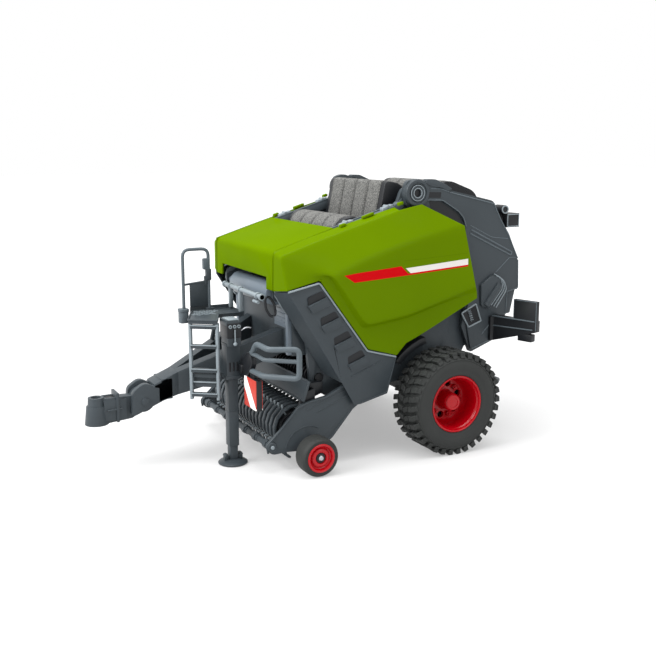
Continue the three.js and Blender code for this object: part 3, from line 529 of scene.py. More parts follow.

# %% [markdown]
# Three finishes need more than that. Tyres are soft and matt. Belts have a pebbled face like
# coarse leather, and a stitched seam along each edge.
# Pins are plated steel with fine turning marks.

# %% Rubber, belting and plated pins
RIBBONS, RIBBON_PITCH = 4, 18.0
BELT_HALF = RIBBONS * RIBBON_PITCH / 2


def rubber():
    material, shader, place = start_material("tyre_rubber")
    cloud, fine = noise(place, 40.0), noise(place, 900.0, 4.0)
    feed(shader, "Base Color", mix(cloud, tint(40, 41, 41), tint(53, 55, 54)))
    feed(shader, "Roughness", 0.62 + (cloud - 0.5) * 0.2)
    feed(shader, "Normal", bump(fine, 0.35, 0.0002))
    set_gloss(shader, 0.22)
    return material


def belting():
    material, shader, place = start_material("pebbled_belting")
    pebbles = place.add(
        "ShaderNodeTexVoronoi", {"feature": "SMOOTH_F1"},
        {"Vector": place, "Scale": 1300.0, "Smoothness": 0.6})
    cloud = noise(place, 60.0)
    x, _, _ = axes_of(place)
    off_middle = abs((x + BELT_HALF) % RIBBON_PITCH - RIBBON_PITCH / 2)
    seam = between(off_middle, 7.3, 7.8)
    shade = mix(pebbles * 1.6, tint(134, 134, 130), tint(74, 74, 73))
    feed(shader, "Base Color", mix(seam * 0.75, shade, tint(38, 38, 38)))
    feed(shader, "Roughness", 0.72 + (cloud - 0.5) * 0.2)
    feed(shader, "Normal", bump(1.0 - pebbles - seam * 0.5, 0.8, 0.0005))
    set_gloss(shader, 0.3)
    return material


def plated():
    material, shader, place = start_material("plated_pin")
    marks = noise(place, 2600.0, 2.0)
    shader.inputs["Metallic"].default_value = 1.0
    feed(shader, "Base Color", mix(marks, tint(190, 192, 196), tint(150, 153, 158)))
    feed(shader, "Roughness", 0.22 + marks * 0.18)
    return material


RUBBER, BELTING, PLATED = rubber(), belting(), plated()
print("rubber, belting and plated steel ready")

# %% [markdown]
# ## Wheels
# The main tyres are wide flotation tyres: a soft carcass with four rows of chunky blocks, the
# outer ones hanging over the shoulder, which gives the tyre its toothed outline. One slice of
# tread holds a block of each row, each a leaning four-sided slab. The slice is modelled once at
# the top of the wheel and copied round the axle. The carcass is turned from one section.

# %% Main tyres
WHEEL_R = 36.6
TREAD_TOP, TREAD_FOOT = WHEEL_R, WHEEL_R - 2.6
SLICES = 34

carcass = turned("tyre_carcass", [
    (20.4, 61.4), (21.6, 60.2), (24.5, 59.2), (28.5, 58.8), (31.8, 59.5), (33.6, 61.6),
    (34.2, 65.0), (34.4, 73.1), (34.2, 81.2), (33.6, 84.6), (32.2, 86.4), (31.4, 86.9),
    (31.0, 86.6), (28.5, 87.4), (25.0, 87.4), (24.4, 87.1), (22.6, 87.0), (21.4, 86.8),
    (20.4, 86.0),
], 0, WHEEL_R, steps=72, degrees=50)


def tread_block(x0, x1, offset, lean, length):
    """One rubber block at the top of the wheel, leaning round the tyre from x0 to x1."""
    half = length / 2
    return slab("tread_block", [
        (x0, offset - half), (x1, offset + lean - half),
        (x1, offset + lean + half), (x0, offset + half),
    ], "z", WHEEL_R + TREAD_FOOT, WHEEL_R + TREAD_TOP, edge=0.35, segments=1)


def shoulder_block(x0, x1, offset):
    """The lower half of a shoulder block, hanging over the tyre's edge."""
    return slab("shoulder_block", [
        (x0, WHEEL_R + 34.8), (x1, WHEEL_R + 34.4),
        (x1 + (x1 - x0) * 0.35, WHEEL_R + 32.4), (x0, WHEEL_R + 32.0),
    ], "y", offset - 1.75, offset + 1.75, edge=0.3, segments=1)


slice_blocks = [
    tread_block(60.5, 66.0, 0.2, 1.6, 3.9), tread_block(67.0, 72.6, 3.2, -2.0, 3.6),
    tread_block(73.6, 79.0, 0.6, 2.2, 3.6), tread_block(80.0, 86.0, 2.8, 1.3, 3.9),
    shoulder_block(84.4, 86.2, 3.9), shoulder_block(62.0, 60.2, 0.2),
]
tread_slice = join("tread_slice", *slice_blocks)
slices = [
    turned_copy(tread_slice, f"tread_{i}", 360 * i / SLICES, 0, WHEEL_R) for i in range(1, SLICES)
]
tyre_left = join("tyre_tread_left", carcass, tread_slice, *slices)
tyre_right = mirrored(tyre_left, "tyre_tread_right")
for side, tyre in (("left", tyre_left), ("right", tyre_right)):
    stand_in(f"tyre_{side}", tyre, RUBBER)
print("main tyres", len(tyre_left.data.polygons), "faces each")

# %% [markdown]
# The wheel centre is a deep red dish. From the lip it steps down a round well to a flat face with
# six openings between short webs, and the hub stands out of the middle as a round boss. The
# openings are drilled with a boolean, because their edges must be clean inside the dish.

# %% Main wheel centres
def drill(piece, *cutters):
    for cutter in cutters:
        apply_modifier(piece, "BOOLEAN", operation="DIFFERENCE", solver="EXACT", object=cutter)
        bpy.data.objects.remove(cutter)
    return piece


dish = turned("wheel_dish", [
    (4.0, 62.4), (8.0, 62.4), (8.0, 67.6), (15.6, 67.6), (17.3, 63.0), (20.2, 61.4),
    (20.2, 86.2), (19.6, 86.7), (18.9, 86.2), (18.5, 84.8), (17.9, 84.2), (17.5, 83.4),
    (17.2, 74.0), (16.2, 71.2), (14.8, 70.0), (7.4, 70.0), (6.6, 70.6),
    (6.2, 79.8), (5.6, 80.6), (4.0, 80.6),
], 0, WHEEL_R, steps=64, degrees=30)
HOLES = 6
cutters = []
for i in range(HOLES):
    angle = 2 * math.pi * (i + 0.25) / HOLES
    y, z = 11.4 * math.cos(angle), WHEEL_R + 11.4 * math.sin(angle)
    cutters.append(disc("hole_cutter", 66, 74, y, z, 2.5, edge=0.01, steps=20))
drill(dish, *cutters)
smooth(dish, 30)
studs = []
for i in range(HOLES):
    angle = 2 * math.pi * (i + 0.75) / HOLES
    y, z = 11.2 * math.cos(angle), WHEEL_R + 11.2 * math.sin(angle)
    studs.append(disc("wheel_stud", 69.6, 72.4, y, z, 1.9, edge=0.5, steps=14))
    studs.append(disc("wheel_nut", 72.0, 73.4, y, z, 1.0, edge=0.3, steps=6))
hub_cap = turned("hub_cap", [
    (0.001, 80.7), (5.7, 80.0), (5.7, 81.2), (5.1, 81.8), (3.6, 81.9), (3.4, 81.5),
    (0.001, 81.5),
], 0, WHEEL_R, steps=32)
backing = disc("wheel_backing", 64.6, 65.6, 0, WHEEL_R, 16.2, bore=8.2)
add_pair(backing, DARK, "rim")
dish_left = join("wheel_centre_left", dish, hub_cap, *studs)
dish_right = mirrored(dish_left, "wheel_centre_right")
for side, piece in (("left", dish_left), ("right", dish_right)):
    stand_in(f"rim_{side}", piece, RED)
print("wheel centres done")

# %% [markdown]
# The pick-up's gauge wheels are small and plain: a smooth round-shouldered tyre with a fine ring
# near its edge, and a red disc with a ring groove, a dark hub and a plated pin end.

# %% Gauge wheels
GAUGE_Y, GAUGE_R = -105.0, 13.2
gauge_tyre = turned("gauge_tyre_skin", [
    (8.7, 72.0), (9.6, 71.4), (11.2, 71.3), (12.4, 71.9), (13.1, 73.2), (13.2, 75.2),
    (13.2, 81.0), (13.1, 82.8), (12.5, 84.2), (11.6, 84.9), (11.2, 84.7), (10.0, 84.9),
    (9.2, 84.4), (8.7, 83.8),
], GAUGE_Y, GAUGE_R, steps=56, degrees=50)
gauge_disc = turned("gauge_disc_skin", [
    (2.2, 71.6), (4.0, 71.6), (8.6, 72.6), (8.6, 84.3), (9.7, 84.6), (9.7, 85.0), (9.1, 85.3),
    (8.2, 85.0), (7.5, 83.6), (6.5, 83.0), (6.1, 84.0), (5.3, 84.5), (3.9, 84.3), (3.5, 83.2),
    (2.2, 83.2),
], GAUGE_Y, GAUGE_R, steps=48, degrees=30)
gauge_hub = turned("gauge_hub", [
    (2.1, 82.6), (3.3, 82.6), (3.3, 83.9), (2.9, 84.3), (2.1, 84.3),
], GAUGE_Y, GAUGE_R, steps=24)
gauge_pin = turned("gauge_pin", [
    (0.001, 84.0), (1.75, 84.0), (1.75, 84.7), (1.3, 85.2), (0.5, 85.4), (0.001, 85.4),
], GAUGE_Y, GAUGE_R, steps=20)
stand_in_pair("gauge_tyre", gauge_tyre, RUBBER)
stand_in_pair("gauge_rim", gauge_disc, RED)
add_pair(gauge_hub, DARK, "gauge_rim")
add_pair(gauge_pin, PLATED, "pickup_side")
print("gauge wheels done")

# %% [markdown]
# ## Green covers
# The side cover is one large moulding: a narrow strip along the roof, a sloping upper face, a
# raised field with soft edges, and a flange that follows the louvred cheek and the wheel's arch.
# It is drawn as a cage of a few four-sided fields, set corner by corner, because each corner of
# such a moulding is chosen one by one. Edges that read as folds on the moulding get a crease
# weight, and Subdivision Surface rounds the rest. Solidify then gives the wall.

# %% Side covers
COVER_POINTS = {
    "A": (52.7, -123.4, 146.0), "B": (52.7, -84.0, 158.4), "C": (54.5, -34.0, 172.0),
    "D": (60.6, -122.2, 143.4), "E": (61.0, -86.0, 155.6), "F": (60.8, -34.0, 170.4),
    "G": (60.2, -15.6, 173.8), "H": (68.8, 14.5, 158.7), "I": (52.7, -123.8, 120.2),
    "J": (66.0, -120.2, 121.8), "K": (68.0, -97.6, 127.5), "L": (68.0, -61.2, 78.4),
    "M": (68.0, -38.6, 71.9), "N": (68.0, -31.0, 79.7), "O": (68.0, -17.9, 84.9),
    "P": (68.0, 27.6, 106.7), "Q": (70.8, 24.2, 115.6), "R": (73.4, -89.4, 130.1),
    "S": (73.4, -65.2, 95.9), "T": (73.2, -57.3, 143.0), "U": (71.4, -19.6, 152.4),
    "V": (73.2, -31.3, 100.5), "W": (72.6, -7.0, 107.2), "X": (68.0, 6.0, 96.4),
    "a": (68.8, -91.6, 130.4), "b": (68.6, -66.4, 92.8), "c": (68.4, -31.4, 97.0),
    "d": (68.3, -6.4, 103.8), "e": (68.2, 27.0, 111.4),
}
COVER_FIELDS = [
    "ADEB", "BEFC", "AIJD", "DJKaR", "DRTE", "ETUF", "FUHG", "KLba", "LMNcb", "NOdc", "OXPed",
    "abSR", "bcVS", "cdWV", "deQW", "RSVT", "TVWU", "UWQH",
]
FOLDS = {
    0.9: "DE EF FG HU", 0.85: "AD DJ RS TU SV VW QW", 0.8: "ab bc cd de", 0.65: "RT",
    0.5: "Ka Ra Sb Vc Wd Lb",
}
WEIGHTS = {fold: weight for weight, folds in FOLDS.items() for fold in folds.split()}
NAMES = list(COVER_POINTS)


def crease_cover(mesh):
    """Crease weights: full on the rim, strong on folds, light on the raised field."""
    weights = mesh.attributes.new("crease_edge", "FLOAT", "EDGE")
    corners = mesh.attributes.new("crease_vert", "FLOAT", "POINT")
    inside = [key for polygon in mesh.polygons for key in polygon.edge_keys]
    for edge in mesh.edges:
        fold = "".join(sorted(NAMES[v] for v in edge.vertices))
        on_rim = inside.count(tuple(sorted(edge.vertices))) == 1
        weights.data[edge.index].value = 1.0 if on_rim else WEIGHTS.get(fold, 0.0)
    for name in "ACGHIJKLMNPQ":
        corners.data[NAMES.index(name)].value = 1.0


cage = bpy.data.meshes.new("side_cover")
cage.from_pydata(
    [at(*COVER_POINTS[name]) for name in NAMES], [],
    [[NAMES.index(name) for name in field] for field in COVER_FIELDS],
)
cover = bpy.data.objects.new("side_cover_left", cage)
bpy.context.scene.collection.objects.link(cover)
edit_all(cover, outward)
crease_cover(cover.data)
apply_modifier(cover, "SUBSURF", levels=4, render_levels=4)
if sum(polygon.normal.x for polygon in cover.data.polygons) < 0:
    edit_all(cover, bpy.ops.mesh.flip_normals)
apply_modifier(cover, "SOLIDIFY", thickness=1.5 * MM, offset=-1.0)
round_edges(cover, 0.3, 2, 50)
smooth(cover, 42)
print("side cover", len(cover.data.polygons), "faces")

# %% [markdown]
# The cover's finish carries the blank stripe of its decal: a red field with a pointed front end,
# a white field behind it, and a thin red line below the white. There is no lettering on it. The
# stripe is drawn in the material from the piece's own coordinates, with straight edges given as
# lines in the side view. A shallow groove runs just above it.

# %% Cover finish with its blank stripe
def side_line(y, z, y0, z0, y1, z1):
    """Above 0 where a point lies over the line through two drawing points."""
    return z - (y - y0) * ((z1 - z0) / (y1 - y0)) - z0


def decal_green():
    material, shader, place = start_material("green_gloss_with_stripe")
    cloud, fine = noise(place, 22.0), noise(place, 1500.0, 2.0)
    x, y, z = axes_of(place)
    outside = abs(x) > 60.0
    under = side_line(y, z, -74.7, 125.1, 17.6, 130.3)
    over = side_line(y, z, -72.8, 131.4, -38.9, 133.9)
    nose_low = side_line(y, z, -82.5, 130.3, -74.7, 125.1)
    nose_high = side_line(y, z, -82.5, 130.3, -72.8, 131.4)
    slant = side_line(y, z, -38.9, 134.0, -31.0, 126.4)
    red_field = (under > 0.0) * (over < 0.0) * (nose_low > 0.0) * (nose_high < 0.0) * (slant < 0.0)
    tail = (slant > 0.0) * (y < 17.4) * outside
    white_start = side_line(y, z, -36.0, 133.0, -28.6, 126.4) > 0.0
    white_top = side_line(y, z, -34.6, 132.3, 17.0, 135.6) < 0.0
    white_field = tail * white_start * (under > 1.2) * white_top
    red_line = tail * (under > 0.0) * (under < 1.2)
    groove_place = side_line(y, z, -29.1, 137.6, 13.9, 139.4)
    groove = between(groove_place, -0.18, 0.18) * between(y, -36.0, 16.0) * outside
    shade = mix(cloud, tint(*GREEN_LOW), tint(*GREEN_HIGH))
    shade = mix(red_field * outside + red_line, shade, tint(178, 18, 24))
    shade = mix(white_field, shade, tint(204, 200, 196))
    # The groove is also darkened in the colour: painted shade in the groove, on top of the dent that
    # the bump gives it.
    feed(shader, "Base Color", mix(groove * 0.5, shade, tint(70, 92, 0)))
    feed(shader, "Roughness", 0.3 + (cloud - 0.5) * 0.1)
    feed(shader, "Normal", bump(fine * 0.4 + cloud - groove * 6.0, 0.06, 0.0003))
    set_gloss(shader, 0.0, 0.04)
    return material


GREEN_STRIPED = decal_green()
stand_in_pair("side_panel", cover, GREEN_STRIPED)
print("striped covers dressed")

# %% [markdown]
# The hood is one folded sheet of moulding with a notch over the net roll. Its edges are rounded,
# and it is drawn in a little across the machine, so that a shadow gap shows beside the covers.
# Green lugs stand up along the covers' top edges, over light grey hinge blocks on the grey rails.

# %% Hood, roof rails and hinge lugs
HOOD_WIDTH_SHARE = 0.979
hood = softened("hood", 0.7, 3)
hood.data.transform(Matrix.Diagonal((HOOD_WIDTH_SHARE, 1, 1, 1)))
stand_in("hood", hood, GREEN)


def hinge_line(y):
    return 146.0 + (y + 123.5) * 0.305


def along_hinge(y0, y1, low, high):
    return [(y0, hinge_line(y0) + low), (y0, hinge_line(y0) + high),
            (y1, hinge_line(y1) + high), (y1, hinge_line(y1) + low)]


stand_in_pair("roof_rail", softened("roof_rail_left", 0.3), MID_GREY)
rail_moulding = join(
    "roof_rail_moulding",
    slab("rail_top", along_hinge(-78.5, -31.5, -8.0, -1.4), "x", 46.2, 51.6, 0.5),
    slab("rail_lip", along_hinge(-78.5, -31.5, -2.0, -0.4), "x", 46.2, 47.6, 0.3),
    slab("rail_end", [(-31.5, 166), (-31.5, 173.4), (-26, 178), (-24, 172)], "x", 46.6, 51.4, 0.5),
)
add_pair(rail_moulding, MID_GREY, "side_plate")
hinge_blocks = join(
    "hinge_blocks",
    slab("hinge_block", along_hinge(-73.5, -64.5, -2.4, 0.5), "x", 47.4, 52.2, 0.4),
    slab("hinge_block", along_hinge(-41.5, -33.5, -2.4, 0.5), "x", 47.4, 52.2, 0.4),
    *(disc("hinge_pin", 46.4, 52.4, y, hinge_line(y) + 0.1, 1.2, steps=14) for y in (-69, -37.5)),
)
add_pair(hinge_blocks, LIGHT_GREY, "side_plate")
lugs = join(
    "cover_lugs",
    slab("cover_lug", along_hinge(-76.0, -72.0, -0.8, 1.1), "x", 52.8, 56.2, 0.4),
    slab("cover_lug", along_hinge(-59.0, -50.5, -0.8, 1.0), "x", 52.9, 56.0, 0.4),
    slab("cover_lug", along_hinge(-32.5, -29.0, -0.8, 1.2), "x", 55.0, 58.5, 0.4),
)
add_pair(lugs, GREEN, "side_panel")
print("hood, rails and lugs done")

# %% [markdown]
# The cheek under each cover's front edge is grey: a chamfer towards the front, a raised rim along
# the top whose light grey is a painted highlight, and four hooded air slots. Each hood is a wedge
# that stands proud at its upper lip and runs out below, and over each lip lies a thin dark slab,
# painted shade for the recess above the lip.

# %% Louvred cheeks
stand_in_pair("cheek", softened("cheek_left", 0.35), GREY)
# The rim is a real raised lip; its light grey on the grey cheek is a painted highlight along the top
# edge.
rim = bar("cheek_rim_highlight", [
    (66.4, -119.4, 120.8), (68.3, -97.9, 125.8), (68.3, -62.0, 77.2),
    (68.3, -39.6, 71.0),
], 0.65, 1.5)
add_pair(rim, LIGHT_GREY, "cheek")
hoods, louvre_shade_slabs = [], []
for y, z in ((-99.4, 112.2), (-90.0, 98.0), (-80.5, 84.0), (-70.0, 70.0)):
    hoods.append(slab("air_hood", [
        (y - 6.6, z - 1.6), (y + 6.6, z + 3.6), (y + 9.2, z - 1.4), (y - 3.4, z - 6.4),
    ], "x", 67.0, 68.1, 0.25, slope=lambda u, v, low=z: 1.5 if v > low - 1.7 else 0.0))
    # A thin dark slab over each lip is painted shade for the recess above it.
    louvre_shade_slabs.append(slab("louvre_painted_shade", [
        (y - 6.2, z - 0.8), (y + 6.4, z + 4.2), (y + 3.6, z + 8.6, 1.5), (y - 7.0, z + 4.4, 1.5),
    ], "x", 67.4, 68.12, 0))
    hoods.append(bar("air_lip", [(69.3, y - 6.4, z - 1.2), (69.3, y + 6.5, z + 3.9)], 0.42))
add_pair(join("air_hoods", *hoods), GREY, "cheek")
add_pair(join("louvre_painted_shades", *louvre_shade_slabs), DARK, "cheek")
add_pair(join(
    "cheek_ribs",
    bar("cheek_rib", [(68.1, -74.0, 60.5), (68.1, -50.5, 69.5)], 0.35),
    bar("cheek_rib", [(68.1, -66.0, 42.0), (68.1, -46.4, 46.6), (68.1, -40.2, 68.0)], 0.4, 1.0),
), GREY, "cheek")
print("cheeks done")

# %% [markdown]
# ## Belts
# Three humps of belting rise between the rails. Each hump is four ribbons side by side with a
# black roller end at either side. The ribbons follow one side view and are only moved across.

# %% Belts over their rollers
def belt_hump(node, side_view):
    ribbon = slab("ribbon", side_view, "x", 0.3 - BELT_HALF, RIBBON_PITCH - BELT_HALF - 0.3, 0.55)
    others = [copied(ribbon, "ribbon", ((i + 1) * RIBBON_PITCH, 0, 0)) for i in range(RIBBONS - 1)]
    stand_in(node, join(f"{node}_ribbons", ribbon, *others), BELTING)
    middle_y = sum(point[0] for point in side_view) / len(side_view)
    middle_z = sum(point[1] for point in side_view) / len(side_view)
    shrunk = [
        (middle_y + (y - middle_y) * 0.95, middle_z + (z - middle_z) * 0.97, *radius)
        for y, z, *radius in side_view
    ]
    core = slab(f"{node}_core", shrunk, "x", -41.0, 41.0, 1.4, 3)
    add_one(core, DARK, node)


belt_hump("belt_front", [
    (-71, 151.0), (-57, 152.4), (-50.5, 155.1), (-49.5, 161, 3), (-56, 166.4, 4), (-66, 165, 4),
    (-71.6, 158, 3),
])
belt_hump("belt_middle", [
    (-39.5, 159.8), (-38, 160.4), (-9, 162.3), (-11, 176, 5), (-21, 188.2, 5), (-33.5, 189.8, 3),
])
belt_hump("belt_rear", [
    (10, 171.0), (44, 169.9), (46, 175, 3), (42, 181, 4), (20, 189.0, 4), (12, 187.0, 4),
])
stand_in("belt_bed", softened("belt_bed", 0.3), DARK)
stand_in("tailgate_bed", softened("tailgate_bed", 0.3), DARK)
print("belts done")

# %% [markdown]
# ## Tailgate
# The tailgate's side is a plate with a raised skin on it. The skin leaves the boss round its
# pivot as an arm, bends down behind the side cover, and fills the plate to its rear edge. Its
# raised edge draws the bright line that runs from the pivot down to the cover's corner.

# %% Tailgate sides
TAILGATE_PIVOT = (-17, 181.3)
stand_in_pair("tailgate_side", softened("tailgate_side_left", 0.5), GREY)
skin = slab("tailgate_skin", [
    (-12.5, 190.0), (-11.6, 177.0), (4.1, 175.7, 2), (18.0, 167.4), (22.4, 162.5, 2),
    (24.2, 157.0, 3), (24.4, 146.0, 4), (30.0, 126.0, 4), (30.5, 110.0, 4), (26.0, 92.0, 4),
    (31.5, 66.5, 2), (52.6, 73.0, 3), (62.0, 90.5, 2), (62.6, 107.0, 2), (72.4, 109.5, 2),
    (71.4, 131.4, 4), (62.6, 148.6, 2), (54.6, 160.6, 2), (48.2, 172.8, 3), (8.2, 182.0),
    (-2.0, 185.4, 2), (-8.0, 189.6, 2),
], "x", 54.6, 56.4, 0.45, 3)
boss = turned("pivot_boss", [
    (6.2, 54.8), (9.5, 54.8), (9.5, 57.0), (9.0, 57.7), (8.0, 57.9), (7.2, 57.7), (6.9, 57.0),
    (6.2, 57.0),
], *TAILGATE_PIVOT, 40)
fork_lug = slab("arm_lug", [
    (-10.6, 188.0), (-9.4, 190.6, 1), (-2.0, 190.4, 1.5), (6.4, 186.8, 2), (12.0, 183.4),
    (8.1, 182.0), (2.8, 184.4, 1), (-6.0, 185.6),
], "x", 51.6, 56.9, 0.4)
add_pair(join("tailgate_skins", skin, boss, fork_lug), GREY, "tailgate_side")
# The dark slab in the fork lug's pocket and the dark disc in the pivot's well are painted shade in
# those hollows.
pocket = slab("arm_pocket_shade", [
    (-8.6, 181.8, 0.6), (2.9, 181.4, 0.6), (2.3, 177.4, 0.6), (-8.8, 178.0, 0.6),
], "x", 56.0, 56.5, 0)
# A thin dark slab under the arm's lower edge is painted shade, where the bent arm shades the plate
# below it.
arm_painted_shade = slab("arm_painted_shade", [
    (-6.0, 175.6), (3.6, 174.8, 2), (17.2, 166.8, 2), (21.6, 161.8, 2), (23.4, 155.4),
    (12.0, 157.6), (-4.0, 166.0),
], "x", 54.3, 54.9, 0)
pin_well_shade = disc("pivot_well_shade", 54.8, 55.8, *TAILGATE_PIVOT, 2.9, 0.05, 20)
painted_shade_pieces = join("tailgate_painted_shade", pocket, pin_well_shade, arm_painted_shade)
add_pair(painted_shade_pieces, DARK, "tailgate_side")
pin_ring = turned("pivot_ring", [
    (2.7, 55.2), (5.6, 55.2), (5.6, 56.9), (5.0, 57.4), (4.0, 57.2), (3.4, 57.4), (2.7, 56.9),
], *TAILGATE_PIVOT, 36)
add_pair(pin_ring, GREY, "side_plate")
# The two thin light grey rings on the pivot ring's edges are painted highlights.
ring_edges = []
for radius in (3.0, 5.1):
    edge_section = [(radius, 57.0), (radius + 0.5, 57.0), (radius + 0.5, 57.7), (radius, 57.7)]
    ring_edges.append(turned("ring_edge", edge_section, *TAILGATE_PIVOT, 36))
add_pair(join("ring_edges", *ring_edges), LIGHT_GREY, "side_plate")
print("tailgate sides done")

# %% [markdown]
# Ribs stiffen the side. A long narrow loop slants across the middle, a curved housing for the
# lock's ram leans below it with three curved bands over its end, and under that sits a small
# framed window with the lock's spring inside. Each rib is a bar half sunk in the skin. The ribs,
# bands and window frame are a lighter grey than the skin, painted highlight on their edges, and
# the window is a dark slab, painted shade inside it.

# %% Ribs, ram housing and lock window
def trace(name, x, points, radius=0.45, corner=0.0, closed=False):
    """A rib that follows a line in the side view."""
    return bar(name, [(x, y, z) for y, z in points], radius, corner, closed, 2)


# The ribs are a lighter grey than the skin under them: painted highlight on their edges.
ribs = join(
    "tailgate_ribs",
    trace("loop_rib", 56.5, [(29.0, 154.2), (66.0, 136.4), (64.9, 134.3), (28.2, 151.6)], 0.55, 0.6),
    trace("fine_rib", 56.4, [(28.3, 157.4), (47.3, 148.1), (61.9, 146.5)], 0.3, 3),
    trace("fine_rib", 56.4, [(52.0, 122.2), (64.1, 132.6), (70.9, 132.3)], 0.3, 1),
    trace("edge_rib", 56.4, [
        (9.9, 181.2), (48.4, 172.2), (54.9, 160.4), (62.9, 148.4), (71.6, 131.6),
    ], 0.4, 1),
    trace("edge_rib", 56.4, [(71.9, 130.6), (72.8, 109.4), (62.8, 107.2), (62.2, 91.0)], 0.4, 1),
    trace("arm_rib", 56.4, [
        (-9.4, 176.4), (4.1, 175.9), (18.0, 167.6), (22.6, 162.6), (24.6, 156.8),
    ], 0.45, 2),
    trace("arm_rib", 56.4, [(-6.0, 184.0), (3.2, 183.6), (9.4, 181.4)], 0.35, 1),
    trace("plate_rib", 56.4, [(40.8, 77.0), (49.8, 86.0)], 0.45),
    trace("plate_rib", 56.4, [(32.6, 67.2), (52.4, 73.4), (61.6, 89.0)], 0.4, 1),
)
add_pair(ribs, MID_GREY, "tailgate_side")
housing = slab("ram_housing", [
    (37.6, 114.0, 1), (48.4, 121.4, 4), (57.4, 118.4, 4), (60.8, 110.4, 3), (46.0, 95.6, 1),
    (38.4, 98.6, 1),
], "x", 55.6, 58.8, 0.9, 3)
ram = bar("ram_barrel", [(58.8, 42.0, 98.6), (58.8, 54.0, 113.4)], 2.5, sides=6)
lamp_flange = slab("lower_flange", [
    (61.4, 108.6), (71.6, 108.6), (67.4, 90.8), (62.6, 90.0),
], "x", 51.6, 54.9, 0.4)
add_pair(join("tailgate_housing", housing, ram, lamp_flange), GREY, "tailgate_side")
# The bands are light grey on the grey housing: painted highlight on them.
bands = join("ram_bands", *(
    trace("ram_band", 58.9, [
        (46.9 + 2.3 * i, 97.0 - 1.0 * i + 1.6), (56.8 + 1.9 * i, 110.6 - 0.6 * i),
        (55.4 + 1.2 * i, 118.2 - 0.9 * i), (49.0 + 2.2 * i, 121.4 - 1.4 * i),
    ], 0.42, 2.6) for i in range(3)))
add_pair(bands, LIGHT_GREY, "tailgate_side")
window_view = [(22.7, 94.2), (35.1, 100.1), (40.0, 87.2), (29.1, 83.5)]
# The window is a thin dark slab: painted shade inside the window.
add_pair(slab("lock_window", window_view, "x", 55.6, 56.5, 0), DARK, "tailgate_side")
coil = []
for i in range(48):
    turn = 2 * math.pi * i / 8
    t = i / 47
    coil.append((57.2 + 0.9 * math.cos(turn), 28.6 + 3.2 * t + 1.2 * math.sin(turn), 96.4 - 8.4 * t))
spring = bar("lock_spring", coil, 0.28, sides=1)
# The frame is light grey: painted highlight on the frame's edges.
frame_rib = trace("window_frame", 56.5, window_view, 0.6, 0.8, True)
window_parts = join("lock_window_parts", spring, frame_rib)
add_pair(window_parts, LIGHT_GREY, "tailgate_side")
print("ribs and housing done")

# %% [markdown]
# Behind, the tailgate's wall is one curved sheet between the two sides. Plain upright ribs and two
# cross ribs keep it stiff, as on the real machine. The lamps sit on its upper corners, a square
# one and a small round one, each with a smoky lens that looks backwards.

# %% Rear wall and lamps
stand_in("tailgate_wall", softened("tailgate_wall", 0.35), GREY)
WALL_VIEW = [
    (47.2, 171.0), (54.9, 160.4), (63.1, 148.6), (71.2, 131.6), (72.7, 109.2), (63.0, 88.8),
    (52.0, 73.2), (38.0, 66.2),
]
wall_ribs = [trace("wall_rib", x, WALL_VIEW, 0.9, 2.5) for x in (-26, 0, 26)]
for y, z in ((71.3, 131.4), (63.2, 89.4), (55.0, 160.2)):
    wall_ribs.append(bar("wall_cross_rib", [(-50, y, z), (50, y, z)], 0.8))
add_one(join("tailgate_wall_ribs", *wall_ribs), GREY, "tailgate_wall")
blank_field = slab("rear_name_field", [
    (-20, 112, 2), (-20, 127, 2), (20, 127, 2), (20, 112, 2),
], "y", 71.6, 72.9, 0.3)
add_one(blank_field, GREY, "tailgate_wall")
stand_in_pair("rear_lamp", softened("rear_lamp_left", 0.5), DARK)
# The light grey rims round both lamps are painted highlights on their edges.
lamp_edges = join(
    "lamp_edges",
    trace("lamp_edge", 54.9, [
        (62.4, 155.2), (72.4, 155.2), (72.4, 163.8), (62.4, 163.8),
    ], 0.35, 0.5, True),
    turned("lamp_ring", [(2.2, 53.6), (3.0, 53.6), (3.0, 54.3), (2.2, 54.3)], 60.5, 167.5, 24),
)
add_pair(lamp_edges, LIGHT_GREY, "rear_lamp")
lens = slab("rear_lens", [
    (43.2, 155.6, 1), (43.2, 163.4, 1), (53.6, 163.4, 1), (53.6, 155.6, 1),
], "y", 72.6, 73.5, 0.3)
add_pair(lens, SMOKE, "rear_lamp")
print("rear wall and lamps done")

# %% [markdown]
# The lighting brackets reach out to the machine's full width. Each is a channel: a flat top with a
# mid grey ridge on its front edge, a face with a second ridge, a hanging lip near the end, and an
# upright plate at the tip that carries the lamps behind. The ridges' mid grey on the black channel
# is painted highlight.

# %% Lighting brackets
LEAN_COS, LEAN_SIN = 0.954, 0.3


def on_bracket(along, across, z):
    """A place on the left bracket, which leans back as it reaches out."""
    return (56.1 + along * LEAN_COS - across * LEAN_SIN, 52 + along * LEAN_SIN + across * LEAN_COS, z)


stand_in_pair("light_bracket", softened("light_bracket_left", 0.45), DARK)
